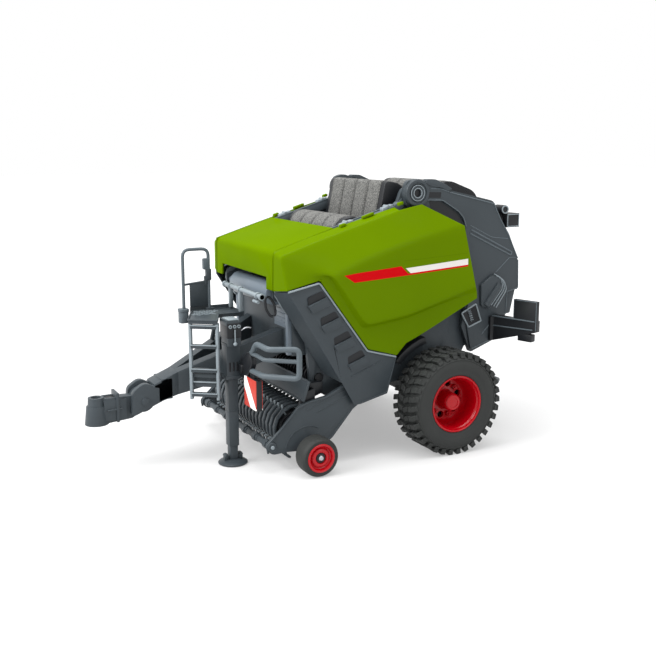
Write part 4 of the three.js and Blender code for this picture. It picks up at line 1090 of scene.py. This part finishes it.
# The ridges are mid grey on the black bracket: painted highlight along its edges.
edges = join(
    "bracket_ridges",
    bar("bracket_ridge", [on_bracket(0.5, -3.1, 90.5), on_bracket(37.0, -3.1, 90.5)], 0.5),
    bar("bracket_ridge", [on_bracket(0.5, -3.2, 83.4), on_bracket(35.5, -3.2, 84.4)], 0.45),
    bar("bracket_ridge", [
        on_bracket(19.2, -3.1, 91), on_bracket(19.2, -3.1, 104.6),
        on_bracket(38.0, -3.1, 104.6), on_bracket(38.0, -3.1, 84),
    ], 0.3, 0.6),
)
add_pair(edges, MID_GREY, "light_bracket")
corners = [on_bracket(u, v, 0)[:2] for u, v in ((23, -3.0), (34.5, -3.0), (34.5, 2.4), (23, 2.4))]
lip = slab("bracket_lip", corners, "z", 75.2, 80.6, 0.5)
corners = [on_bracket(u, v, 0)[:2] for u, v in ((21.5, -0.2), (36.6, -0.2), (36.6, 1.6), (21.5, 1.6))]
lamp_body = slab("bracket_lamp", corners, "z", 87.0, 101.0, 0.5)
add_pair(join("bracket_parts", lip, lamp_body), DARK, "light_bracket")
corners = [on_bracket(u, v, 0)[:2] for u, v in ((22.6, 1.4), (35.4, 1.4), (35.4, 2.2), (22.6, 2.2))]
add_pair(slab("bracket_lens", corners, "z", 88.4, 99.6, 0.3), SMOKE, "light_bracket")
print("lighting brackets done")

# %% [markdown]
# ## Chassis and front
# The fixed plates, the chamber's walls, the axle and the crop floor already have their shapes, so
# they only get moulded edges. The same holds for most other grey pieces of the frame.

# %% Frame pieces with moulded edges
for stem, material in (("side_plate", GREY), ("inner_fender", DARK)):
    stand_in_pair(stem, softened(f"{stem}_left", 0.35), material)
for node, material in (
    ("chamber_front", BELTING), ("chamber_floor", GREY), ("axle", DARK), ("front_wall", GREY),
    ("feed_floor", GREY), ("bale_ramp", GREY), ("lift_shaft", DARK),
):
    stand_in(node, softened(node, 0.3), material)
print("frame pieces done")

# %% [markdown]
# Under the hood hangs the net roll, blue-grey and smooth, on two light plates. In front of it runs
# a bar on two posts, and a black hose loop hangs over the bar's end. The wall below carries a
# light panel with fine ridges and one upright post by the cheek.

# %% Net roll, its bar and the wall's panels
roll = turned("net_roll_skin", [
    (0.001, -41.0), (2.4, -41.0), (2.4, -27.0), (6.4, -27.0), (7.3, -26.6), (8.0, -25.0), (8.0, 37.6),
    (7.3, 39.2), (6.4, 39.6), (2.6, 39.6), (2.4, 41.0), (0.001, 41.0),
], -116, 116, 40)
stand_in("net_roll", roll, BLUE_GREY)
holders = join(
    "roll_holders",
    *(slab("roll_holder", [
        (-107.4, 103.0), (-107.4, 127.0), (-119.0, 124.0, 3), (-119.6, 116.0, 2), (-112.0, 103.0, 2),
    ], "x", x, x + 2.2, 0.4) for x in (-46.0, 43.8)),
    *(disc("roll_button", x, x + 1.0, -116, 116, 3.0, steps=20) for x in (-43.9, 42.9)),
)
add_one(holders, LIGHT_GREY, "front_wall")
rod_and_posts = join(
    "roll_bar_skin",
    bar("roll_rod", [(-18, -130.5, 116.3), (50, -130.5, 116.3)], 1.6, sides=4),
    *(block("roll_post", x, x + 3.2, -131.9, -129.1, 100.9, 116.0, 0.5) for x in (-8.1, 10.4)),
    *(disc("rod_collar", x, x + 2.4, -130.5, 116.3, 2.3, steps=20)
      for x in (-18, -7.7, 10.8, 41.0, 47.6)),
    bar("rod_stub", [(38.0, -131.6, 112.4), (46.0, -131.6, 112.4)], 1.1, sides=3),
)
stand_in("roll_bar", rod_and_posts, LIGHT_GREY)
hose = bar("hose_loop", [
    (49.0, -125.4, 116.6), (49.6, -128.6, 115.8), (50.4, -128.2, 108.0),
    (51.0, -124.8, 102.8), (50.8, -121.4, 104.0), (49.8, -122.0, 111.8),
], 0.9, 2.2, True)
add_one(hose, DARK, "roll_bar")
wall_panel = [block("wall_panel", 20.0, 42.0, -109.0, -107.8, 92.0, 112.0, 0.4)]
for z in range(95, 111, 3):
    wall_panel.append(block("panel_ridge", 21.0, 41.0, -109.4, -108.8, z, z + 0.7, 0.2))
for x in (42.6, -46.6):
    wall_panel.append(block("wall_post", x, x + 4.0, -111.0, -107.8, 74.6, 111.0, 0.6))
wall_panel.append(slab("wall_corner", [
    (46.6, 98.0), (46.6, 112.0), (38.0, 119.0), (38.0, 112.0)], "y", -110.0, -108.0, 0.4))
add_one(join("wall_panels", *wall_panel), BLUE_GREY, "front_wall")
print("net roll and wall done")

# %% [markdown]
# ## Drawbar and towing eye
# The drawbar is a flat-topped V that narrows to a yoke with two round ears, and a solid cheek
# fills the V's narrow end. The eye's head hangs between the ears. It is a cone with a collar,
# then a block with an open pocket in its top and a thin cross rib, then the tongue.

# %% Drawbar
stand_in("drawbar", softened("drawbar", 0.5), GREY)
drawbar_extras = join(
    "drawbar_extras",
    slab("yoke_cheek", [
        (-192.5, 55.6), (-175.5, 62.7), (-175.5, 46.8), (-185.0, 44.2), (-189.6, 43.0),
        (-189.6, 52.5), (-192.5, 53.2),
    ], "x", -9.0, 9.0, 0.4),
    block("arm_clip", 11.5, 14.2, -168.0, -165.0, 57.0, 63.0, 0.5),
    disc("arm_knob", 16.2, 18.8, -154.0, 62.5, 1.9, steps=20),
)
add_one(drawbar_extras, GREY, "drawbar")
print("drawbar done")

# %% Towing eye
stand_in("hitch_head", softened("hitch_head", 0.4), GREY)
eye_parts = join(
    "eye_parts",
    block("pocket_side", 3.4, 5.4, -225.2, -213.2, 45.0, 49.0, 0.4),
    block("pocket_side", -5.4, -3.4, -225.2, -213.2, 45.0, 49.0, 0.4),
    block("cross_rib", -7.0, 7.0, -218.0, -216.0, 33.0, 52.0, 0.5),
    bar("side_rib", [(6.2, -224, 40.6), (6.2, -214, 41.2)], 0.6),
    bar("side_rib", [(-6.2, -224, 40.6), (-6.2, -214, 41.2)], 0.6),
)
add_one(eye_parts, GREY, "hitch_head")
# The dark block inside the pocket is painted shade in it.
eye_pocket_shade = block("eye_pocket_shade", -3.4, 3.4, -223.4, -213.4, 46.4, 48.5, 0.2)
add_one(eye_pocket_shade, DARK, "hitch_head")
print("towing eye done")

# %% [markdown]
# ## Platform and ladder
# The small platform has a raised rim and a chequered top. Each chequer is a low pointed lozenge;
# neighbours lean opposite ways. One lozenge of each lean is modelled and copied to every place of
# a grid that lies well inside the rim.

# %% Platform
DECK_TOP = 100.6
PLAN = [(-9, -129), (14, -129), (14, -147.8), (36.7, -156.8), (25, -173), (-4.5, -160.5)]


def deep_inside(x, y, margin=1.9):
    for i, (x0, y0) in enumerate(PLAN):
        x1, y1 = PLAN[(i + 1) % len(PLAN)]
        length = math.hypot(x1 - x0, y1 - y0)
        if ((x1 - x0) * (y - y0) - (y1 - y0) * (x - x0)) / length > -margin:
            return False
    return True


stand_in("platform", softened("platform", 0.35), GREY)
deck_rim = bar("deck_rim", [(x, y, DECK_TOP + 0.1) for x, y in PLAN], 0.6, 1.0, True, 2)
strut_pads = []
for x in (7.8, -7.8):
    strut_pads.append(block("strut_pad", x - 2.6, x + 2.6, -143.8, -140.2, 96.0, 98.4, 0.4))
toe_board = slab("toe_board", [
    (-9.4, -160.0), (-8.2, -160.0), (-8.2, -128.8), (-9.4, -128.8),
], "z", 98.4, 103.4, 0.3)
add_one(join("deck_rims", deck_rim, toe_board, *strut_pads), GREY, "platform")
leaning = []
for tilt in (1, -1):
    corners = [(-1.35, -1.35 * tilt), (0.28, -0.28 * tilt), (1.35, 1.35 * tilt), (-0.28, 0.28 * tilt)]
    leaning.append(slab("lozenge", corners, "z", DECK_TOP - 0.1, DECK_TOP + 0.4, 0))
lozenges = []
for i in range(-6, 16):
    for j in range(18):
        x, y = i * 2.7, -171.5 + j * 2.7
        if deep_inside(x, y):
            lozenges.append(copied(leaning[(i + j) % 2], "lozenge", (x, y, 0)))
for piece in leaning:
    bpy.data.objects.remove(piece)
add_one(join("deck_chequers", *lozenges), LIGHT_GREY, "platform")
print("platform with", len(lozenges), "chequers")

# %% [markdown]
# The ladder hangs under the platform's slanting edge and faces that way. It is modelled square
# to the axes, with light stiles and darker treads, each with a light grey nose that is a painted
# highlight on its front edge, and is then turned about its own corner.

# %% Ladder
LEVELS = (96.2, 83.0, 66.8, 50.2)
LADDER_TURN = math.atan2(15.1, 11)


def ladder_place(piece):
    corner = at(23.5, -171.9, 0)
    origin = at(0, 0, 0)
    turn = Matrix.Rotation(LADDER_TURN, 4, "Z")
    piece.data.transform(Matrix.Translation(corner) @ turn @ Matrix.Translation(-origin))
    return piece


stiles = []
for x in (-0.2, 18.2):
    stiles.append(slab("stile", [
        (x, -1.7, 0.6), (x + 2.0, -1.7, 0.6), (x + 2.0, 1.7, 0.6), (x, 1.7, 0.6),
    ], "z", 46.8, 98.8, 0.35))
noses = []
# Each tread's nose is a light grey bar: painted highlight on the tread's front edge.
for z in LEVELS:
    noses.append(bar("tread_nose", [(1.0, -2.2, z + 1.0), (19.0, -2.2, z + 1.0)], 0.42, sides=2))
noses.append(block("kick_strip", 1.4, 18.6, -0.7, 0.7, 58.2, 59.1, 0.2))
stand_in("ladder", ladder_place(join("ladder_stiles", *stiles, *noses)), LIGHT_GREY)
treads = []
for z in LEVELS:
    treads.append(block("tread", 1.2, 18.8, -2.1, 2.1, z - 1.3, z + 1.1, 0.35))
for z in (61.6, 55.2):
    treads.append(block("back_strip", 1.2, 18.8, 0.2, 1.4, z, z + 2.6, 0.3))
add_one(ladder_place(join("ladder_treads", *treads)), GREY, "ladder")
print("ladder done")

# %% [markdown]
# The handrail is a bent tube with an infill plate, a clamp and a lever on its rear leg, a foot on
# the deck and a small lamp, and a round canister under its front leg.

# %% Handrail
RAIL = -7.0
tube = bar("handrail_tube", [
    (RAIL, -165.0, 93), (RAIL, -165.0, 143.4), (RAIL, -146.5, 143.4), (RAIL, -146.5, 101),
], 1.15, 5, sides=4)
stand_in("handrail", tube, MID_GREY)
infill = join(
    "rail_infill",
    slab("infill", [
        (-160.5, 103.6, 0.8), (-160.5, 119.4, 0.8), (-147.0, 121.0, 0.8), (-147.0, 103.6, 0.8),
    ], "x", RAIL - 0.6, RAIL + 0.6, 0.25),
    bar("infill_rib", [(RAIL, -164.7, 119.2), (RAIL, -146.8, 120.9)], 0.8),
    block("rail_clamp", RAIL - 1.7, RAIL + 1.7, -148.6, -144.9, 121.5, 129.5, 0.5),
    block("rail_lever", RAIL - 1.1, RAIL + 1.1, -149.8, -147.8, 118.0, 124.5, 0.4),
    block("rail_foot", RAIL - 2.2, RAIL + 2.2, -149.0, -143.4, 100.7, 102.2, 0.4),
)
add_one(infill, GREY, "handrail")
rail_lamp = join(
    "rail_lamp",
    slab("lamp_shell", [
        (-150.6, 129.0, 1), (-150.6, 136.8, 1), (-146.0, 136.8, 1), (-146.0, 129.0, 1),
    ], "x", RAIL - 1.6, RAIL + 1.6, 0.5),
    slab("canister", [
        (RAIL - 3.3, -168.8, 2.6), (RAIL + 3.3, -168.8, 2.6),
        (RAIL + 3.3, -162.2, 2.6), (RAIL - 3.3, -162.2, 2.6),
    ], "z", 92.8, 102.0, 0.7, 3),
    slab("canister_cap", [
        (RAIL - 3.6, -169.1, 2.6), (RAIL + 3.6, -169.1, 2.6),
        (RAIL + 3.6, -161.9, 2.6), (RAIL - 3.6, -161.9, 2.6),
    ], "z", 100.4, 102.8, 0.5),
)
add_one(rail_lamp, MID_GREY, "handrail")
print("handrail done")

# %% [markdown]
# ## Jack
# The jack is a square tube in a sleeve. Above the sleeve sits a black hose box with three small
# ports and a light top plate, and a pin hangs down its side on a ball. The sleeve has a raised
# rim at both ends and three pressed slots. The leg narrows above its round foot.

# %% Jack sleeve and hose box
JACK = (31.2, -145.8)


def square(name, half, low, high, edge=0.4):
    x, y = JACK
    return block(name, x - half, x + half, y - half, y + half, low, high, edge)


sleeve = join(
    "jack_sleeve_skin", softened("jack_sleeve", 0.4),
    square("sleeve_rim", 5.1, 60.0, 62.4), square("sleeve_rim", 5.0, 82.6, 84.4),
    block("sleeve_ear", 36.0, 37.2, -150.2, -141.4, 84.0, 88.0, 0.4),
)
stand_in("jack_sleeve", sleeve, GREY)
# The pressed slots are thin dark blocks on the sleeve: painted shade in the slots.
slots = []
for y in (-148.4, -145.8, -143.2):
    slots.append(block("pressed_slot", 35.6, 36.0, y - 0.65, y + 0.65, 65.4, 71.6, 0.1))
hose_box = block("hose_box", 25.2, 39.2, -151.0, -141.0, 88.4, 98.6, 0.5)
add_one(join("jack_dark_parts", hose_box, *slots), DARK, "jack_sleeve")
ports = []
port_section = [(0.55, 39.0), (1.15, 39.0), (1.15, 39.9), (0.55, 39.9)]
for y in (-149.0, -146.0, -143.0):
    ports.append(turned("hose_port", port_section, y, 96.4, 16))
BALL_R = 1.35
ball_section = []
for i in range(9):
    angle = math.pi * i / 8
    ball_section.append((BALL_R * math.sin(angle) + 0.001, 40.2 - BALL_R * math.cos(angle)))
ball = turned("pin_ball", ball_section, -146.0, 84.8, 16)
light_parts = join(
    "jack_light_parts", *ports, ball,
    bar("hanging_pin", [(40.2, -146.0, 94.4), (40.2, -146.0, 85.0)], 0.45),
    block("holder_plate", 27.0, 38.6, -150.0, -142.4, 99.2, 101.2, 0.5),
    block("holder_neck", 28.6, 36.8, -149.0, -143.2, 98.4, 99.4, 0.2),
)
add_one(light_parts, LIGHT_GREY, "jack_sleeve")
lever = bar("jack_lever", [
    (38.6, -141.2, 93.4), (40.0, -138.6, 95.2), (40.2, -136.4, 95.4), (40.0, -134.8, 94.8),
], 0.5, 1)
add_one(lever, PLATED, "jack_sleeve")
print("jack sleeve done")

# %% Jack leg and foot
leg_body = join(
    "jack_leg_skin",
    square("leg_tube", 3.5, 37.8, 65.5, 0.35), square("leg_tube", 3.5, 13.0, 37.2, 0.35),
    square("leg_seam", 3.3, 37.0, 38.0, 0.05), square("foot_post", 2.8, 2.0, 13.4, 0.3),
    *(slab("foot_ear", [(y - 1.5, 1.6), (y - 1.2, 7.6, 1.1), (y + 1.2, 7.6, 1.1), (y + 1.5, 1.6)],
           "x", JACK[0] - 1.7, JACK[0] + 1.7, 0.3) for y in (JACK[1] - 5.2, JACK[1] + 5.2)),
    *(disc("ear_pin", JACK[0] - 2.5, JACK[0] + 2.5, y, 6.2, 1.1, steps=16)
      for y in (JACK[1] - 5.4, JACK[1] + 5.4)),
    bar("foot_bridge", [(JACK[0], JACK[1] - 5, 4.6), (JACK[0], JACK[1] + 5, 4.6)], 1.1),
)
dish_section = [
    (0.001, 0.2), (9.201, 0.0), (10.101, 0.6), (10.101, 1.3), (9.401, 1.9), (6.401, 2.9),
    (4.201, 3.4), (0.001, 3.5),
]
foot = turned("jack_foot_disc", dish_section, 0, 0, 40)
upright = Matrix.Rotation(-math.pi / 2, 4, "Y")
foot.data.transform(
    Matrix.Translation(at(*JACK, 0)) @ upright @ Matrix.Translation(-at(0, 0, 0)))
stand_in("jack_leg", join("jack_leg_parts", leg_body, foot), GREY)
print("jack leg done")

# %% [markdown]
# ## Guard and warning board
# A thick bent tube guards the pick-up's drive side. Its foot is a folded bracket with a round
# boss. Below it hangs the warning board: a thick black plate with red and white slanting stripes
# on its front. The stripes come from the material and carry no text.

# %% Guard
FLARE_X, FLARE_Y = 88.2, -122.1
guard = join(
    "guard_tube",
    bar("guard_loop", [
        (40.6, -139.5, 68.4), (47.0, -139.5, 73.4), (60.0, -139.5, 88.2), (79.8, -139.5, 88.2),
        (FLARE_X, FLARE_Y, 88.2), (FLARE_X, FLARE_Y, 69.2), (71.0, -139.5, 69.2), (44.0, -139.5, 68.6),
    ], 1.85, 3.6, sides=4),
    bar("guard_rail", [
        (50, -139.5, 80.0), (62, -139.5, 80.6), (73, -139.5, 80.2), (FLARE_X, FLARE_Y, 80.2),
    ], 1.4, 3, sides=3),
)
# The tube is the frame's grey plastic; its lighter mid grey is painted highlight for the light on its
# round top.
stand_in("guard", guard, MID_GREY)
bracket = slab("guard_bracket", [
    (36.4, 61.6, 1), (36.4, 73.4, 1), (41.0, 75.6, 1), (47.6, 80.4, 1), (53.4, 81.6, 1),
    (56.6, 74.4, 2), (50.4, 65.6, 1), (43.0, 60.8, 1),
], "y", -141.4, -137.4, 0.6, 3)
BOSS_R = 3.2
boss_outline = []
for i in range(12):
    angle = i / 6 * math.pi
    boss_outline.append((39.0 + BOSS_R * math.cos(angle), 67.6 + BOSS_R * math.sin(angle)))
boss_disc = slab("guard_boss", boss_outline, "y", -142.8, -136.6, 0.5)
add_one(join("guard_foot", bracket, boss_disc), DARK, "guard")
print("guard done")


# %% Warning board
def striped():
    material, shader, place = start_material("warning_stripes")
    cloud, fine = noise(place, 22.0), noise(place, 1500.0, 2.0)
    x, y, z = axes_of(place)
    band = ((z + (x - 44.5) * 1.2 - 58.0) % 32.0) < 12.0
    feed(shader, "Base Color", mix(band, tint(176, 60, 50), tint(238, 235, 232)))
    feed(shader, "Roughness", 0.36 + (cloud - 0.5) * 0.14)
    feed(shader, "Normal", bump(fine, 0.12, 0.00012))
    set_gloss(shader, 0.3)
    return material


board = join(
    "board_body",
    block("board_plate", 44.4, 65.0, -141.7, -137.6, 44.2, 64.8, 0.7, 3),
    block("board_neck", 51.0, 58.0, -140.6, -138.4, 64.0, 67.2, 0.3),
)
stand_in("warning_board", board, DARK)
corners = [(44.8, 44.6, 0.6), (44.8, 64.4, 0.6), (64.6, 64.4, 0.6), (64.6, 44.6, 0.6)]
faces = join(
    "board_faces",
    slab("board_face", corners, "y", -142.1, -141.4, 0.2),
    slab("board_face", corners, "y", -137.9, -137.3, 0.2),
)
add_one(faces, striped(), "warning_board")
print("warning board done")

# %% [markdown]
# ## Pick-up
# Curved bands run over the reel from the press bar up to a grey guide plate, and bright tine
# hooks reach out between them. The hooks are one bent wire, copied along the reel and round it.

# %% Tine reel and bands
REEL_CENTRE = (-110.0, 27.0)
pickup_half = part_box("press_bar")[1].x / MM
TINE_STEP = 6.1
tine_count = math.floor(2 * (pickup_half - 2.5 - 6) / TINE_STEP)
first_tine = -TINE_STEP * tine_count / 2


def hook(angle, x):
    """One tine: out from the reel, with a tip that trails a little."""
    def point(radius, lag):
        turn = angle - lag
        return (x, REEL_CENTRE[0] + radius * math.cos(turn), REEL_CENTRE[1] + radius * math.sin(turn))
    return bar("tine", [point(9.6, 0), point(14.4, 0.0), point(17.9, 0.09)], 0.62, 0, sides=1)


rows = []
for row in range(4):
    angle = (row + 0.36) * math.pi / 2
    first = hook(angle, first_tine + TINE_STEP / 2)
    rows.append(first)
    rows += [copied(first, "tine", (i * TINE_STEP, 0, 0)) for i in range(1, tine_count)]
add_one(join("tines", *rows), LIGHT_GREY, "tine_reel")
reel_half = pickup_half - 2.9
drum = turned("reel_drum", [
    (0.001, -reel_half), (9.6, -reel_half), (10.0, -reel_half + 0.4),
    (10.0, reel_half - 0.4), (9.6, reel_half), (0.001, reel_half),
], *REEL_CENTRE, 32)
beads = []
for i in range(tine_count + 1):
    x = first_tine + i * TINE_STEP
    beads.append(disc("reel_bead", x - 0.7, x + 0.7, *REEL_CENTRE, 11.2, 0.3, 24))
stand_in("tine_reel", join("reel_drum_skin", drum, *beads), DARK)
stand_in("pickup_bands", softened("pickup_bands", 0.3), GREY)
print("reel with", len(rows), "tines")

# %% [markdown]
# The feed rotor behind is one turned comb of thin ribs, with a dark web at either side. The guide
# plate in front of it is grey with a folded lip above and below. The press bar carries
# eight-sided clamps.

# %% Rotor, guide plate and press bar
comb = [(0.001, -51.0), (3.0, -51.0), (3.0, -46.0)]
for i in range(21):
    x = -45.0 + i * 4.4
    comb += [
        (5.4, x), (5.5, x + 0.9), (8.1, x + 1.0), (8.4, x + 1.3), (8.4, x + 1.9), (8.1, x + 2.2),
        (5.5, x + 2.3),
    ]
comb += [(5.4, 46.4), (3.0, 46.4), (3.0, 51.0), (0.001, 51.0)]
stand_in("feed_rotor", turned("rotor_comb", comb, -90, 58, 32, 25), DARK)
side_web = slab("side_web", [
    (-100, 46.0), (-100, 57.0, 1), (-90.5, 57.0, 1), (-90.5, 49.4),
], "x", 53.4, 58.0, 0.4)
side_fill = slab("side_fill", [
    (-110, 42.0), (-106, 52.0, 1), (-98, 54.0, 1), (-98, 44.0),
], "x", 58.4, 61.6, 0.4)
add_pair(join("side_webs", side_web, side_fill), DARK, "pickup_side")
guide = join(
    "guide_plate", softened("wind_guard", 0.3),
    bar("guide_lip", [(-pickup_half + 3, -108.5, 47.0), (pickup_half - 3, -108.5, 47.0)], 0.7),
    bar("guide_lip", [(-pickup_half + 3, -103.6, 59.9), (pickup_half - 3, -103.6, 59.9)], 0.7),
)
stand_in("wind_guard", guide, GREY)
PRESS_BAR = (-131.0, 18.6)
clamps = []
for i in range(7):
    x = -(pickup_half - 8.5) + i * (pickup_half - 8.5) / 3
    clamps.append(disc("bar_clamp", x - 2.4, x + 2.4, *PRESS_BAR, 3.1, 0.4, 8))
    clamps.append(disc("clamp_ring", x + 4.4, x + 5.6, *PRESS_BAR, 2.6, 0.3, 20))
tube = disc("press_tube", -reel_half, reel_half, *PRESS_BAR, 2.1, 0.3, 24)
ends = disc("press_journal", -pickup_half, pickup_half, *PRESS_BAR, 1.4, 0.2, 20)
stand_in("press_bar", join("press_bar_skin", tube, ends, *clamps), GREY)
print("rotor, guide plate and press bar done")

# %% [markdown]
# The pick-up's side plates end in a round nose with the press bar's pin. A raised lip follows the
# nose's upper edge, two long grooves run towards the pivot, and an arc stands over the gauge
# wheel.

# %% Pick-up side plates
stand_in_pair("pickup_side", softened("pickup_side_left", 0.45), GREY)
face = pickup_half - 0.1
PICKUP_PIVOT = (-66, 50)
ARC_R = 16.2
arc = []
for degrees in range(60, 171, 10):
    angle = math.radians(degrees)
    arc.append((GAUGE_Y + ARC_R * math.cos(angle), GAUGE_R + ARC_R * math.sin(angle)))
side_mouldings = join(
    "pickup_side_mouldings",
    trace("nose_lip", face, [
        (-133.6, 14.6), (-134.6, 19.6), (-123.0, 30.6), (-112.0, 42.6), (-104.0, 45.6),
        (-90.4, 47.8), (-73.4, 55.6), (-60.4, 55.2),
    ], 0.75, 1.6),
    trace("groove_rib", face, [(-106.0, 40.4), (-74.0, 51.6), (-64.0, 51.2)], 0.5, 2),
    trace("groove_rib", face, [(-98.0, 38.2), (-72.0, 48.0)], 0.45),
    trace("wheel_arc", face, arc, 0.5),
    trace("heel_rib", face, [(-95.6, 13.6), (-86.6, 20.2), (-71.2, 38.0), (-61.2, 44.8)], 0.5, 2),
    disc("nose_boss", face - 0.4, face + 1.3, *PRESS_BAR, 3.4, 0.5, 28),
    disc("pivot_cap", face - 0.4, face + 1.8, *PICKUP_PIVOT, 3.8, 0.5, 28),
    disc("hub_flange", face - 0.4, face + 2.4, GAUGE_Y, GAUGE_R, 5.6, 0.6, 28),
)
add_pair(side_mouldings, GREY, "pickup_side")
pins = join(
    "pickup_pins",
    disc("nose_pin", face + 1.0, face + 2.1, *PRESS_BAR, 1.3, 0.3, 16),
    disc("pivot_pin", face + 1.6, face + 2.6, *PICKUP_PIVOT, 1.9, 0.4, 20),
)
add_pair(pins, LIGHT_GREY, "pickup_side")
print("pick-up sides done")

# %% [markdown]
# The toy stands on a plain pale floor, lit as in a product studio: a large soft light in front
# and above, another right overhead, a weak one from behind on the left, and a white surround. The
# floor glows a little, more with distance, so that it runs out into white without an edge.

# %% Floor and studio light
bpy.ops.object.select_all(action="DESELECT")
bpy.ops.mesh.primitive_plane_add(size=12, location=(0, 0, 0))
floor = bpy.context.object
floor.name = "studio_floor"
paper, paper_shader, paper_place = start_material("studio_paper")
paper_tone = mix(noise(paper_place, 3.0), (0.38, 0.38, 0.38, 1), (0.4, 0.4, 0.4, 1))
feed(paper_shader, "Base Color", paper_tone)
x, y, _ = axes_of(paper_place)
far = (x * x + y * y) / 300000.0 - 0.25
feed(paper_shader, "Emission Color", mix(far, (0.35, 0.35, 0.35, 1), (0.66, 0.66, 0.66, 1)))
paper_shader.inputs["Roughness"].default_value = 0.8
paper_shader.inputs["Emission Strength"].default_value = 1.0
floor.data.materials.append(paper)

world = bpy.data.worlds.new("studio")
bpy.context.scene.world = world
world.use_nodes = True
world.node_tree.nodes["Background"].inputs["Color"].default_value = (1, 1, 1, 1)
world.node_tree.nodes["Background"].inputs["Strength"].default_value = 1.0


def soft_light(name, place, aim, size, power):
    bpy.ops.object.light_add(type="AREA", location=place)
    lamp = bpy.context.object
    lamp.name = name
    lamp.data.size = size
    lamp.data.energy = power
    lamp.rotation_euler = (Vector(aim) - Vector(place)).to_track_quat("-Z", "Y").to_euler()
    return lamp


soft_light("key_light", (0.0, -1.3, 1.1), (0, 0, 0.08), 0.9, 29)
soft_light("top_light", (0, 0, 1.4), (0, 0, 0), 1.2, 19)
soft_light("side_light", (1.5, 0.5, 0.9), (0, 0, 0.08), 1.0, 4)
print("studio ready")

# %% Last update of the scene
bpy.context.view_layer.update()
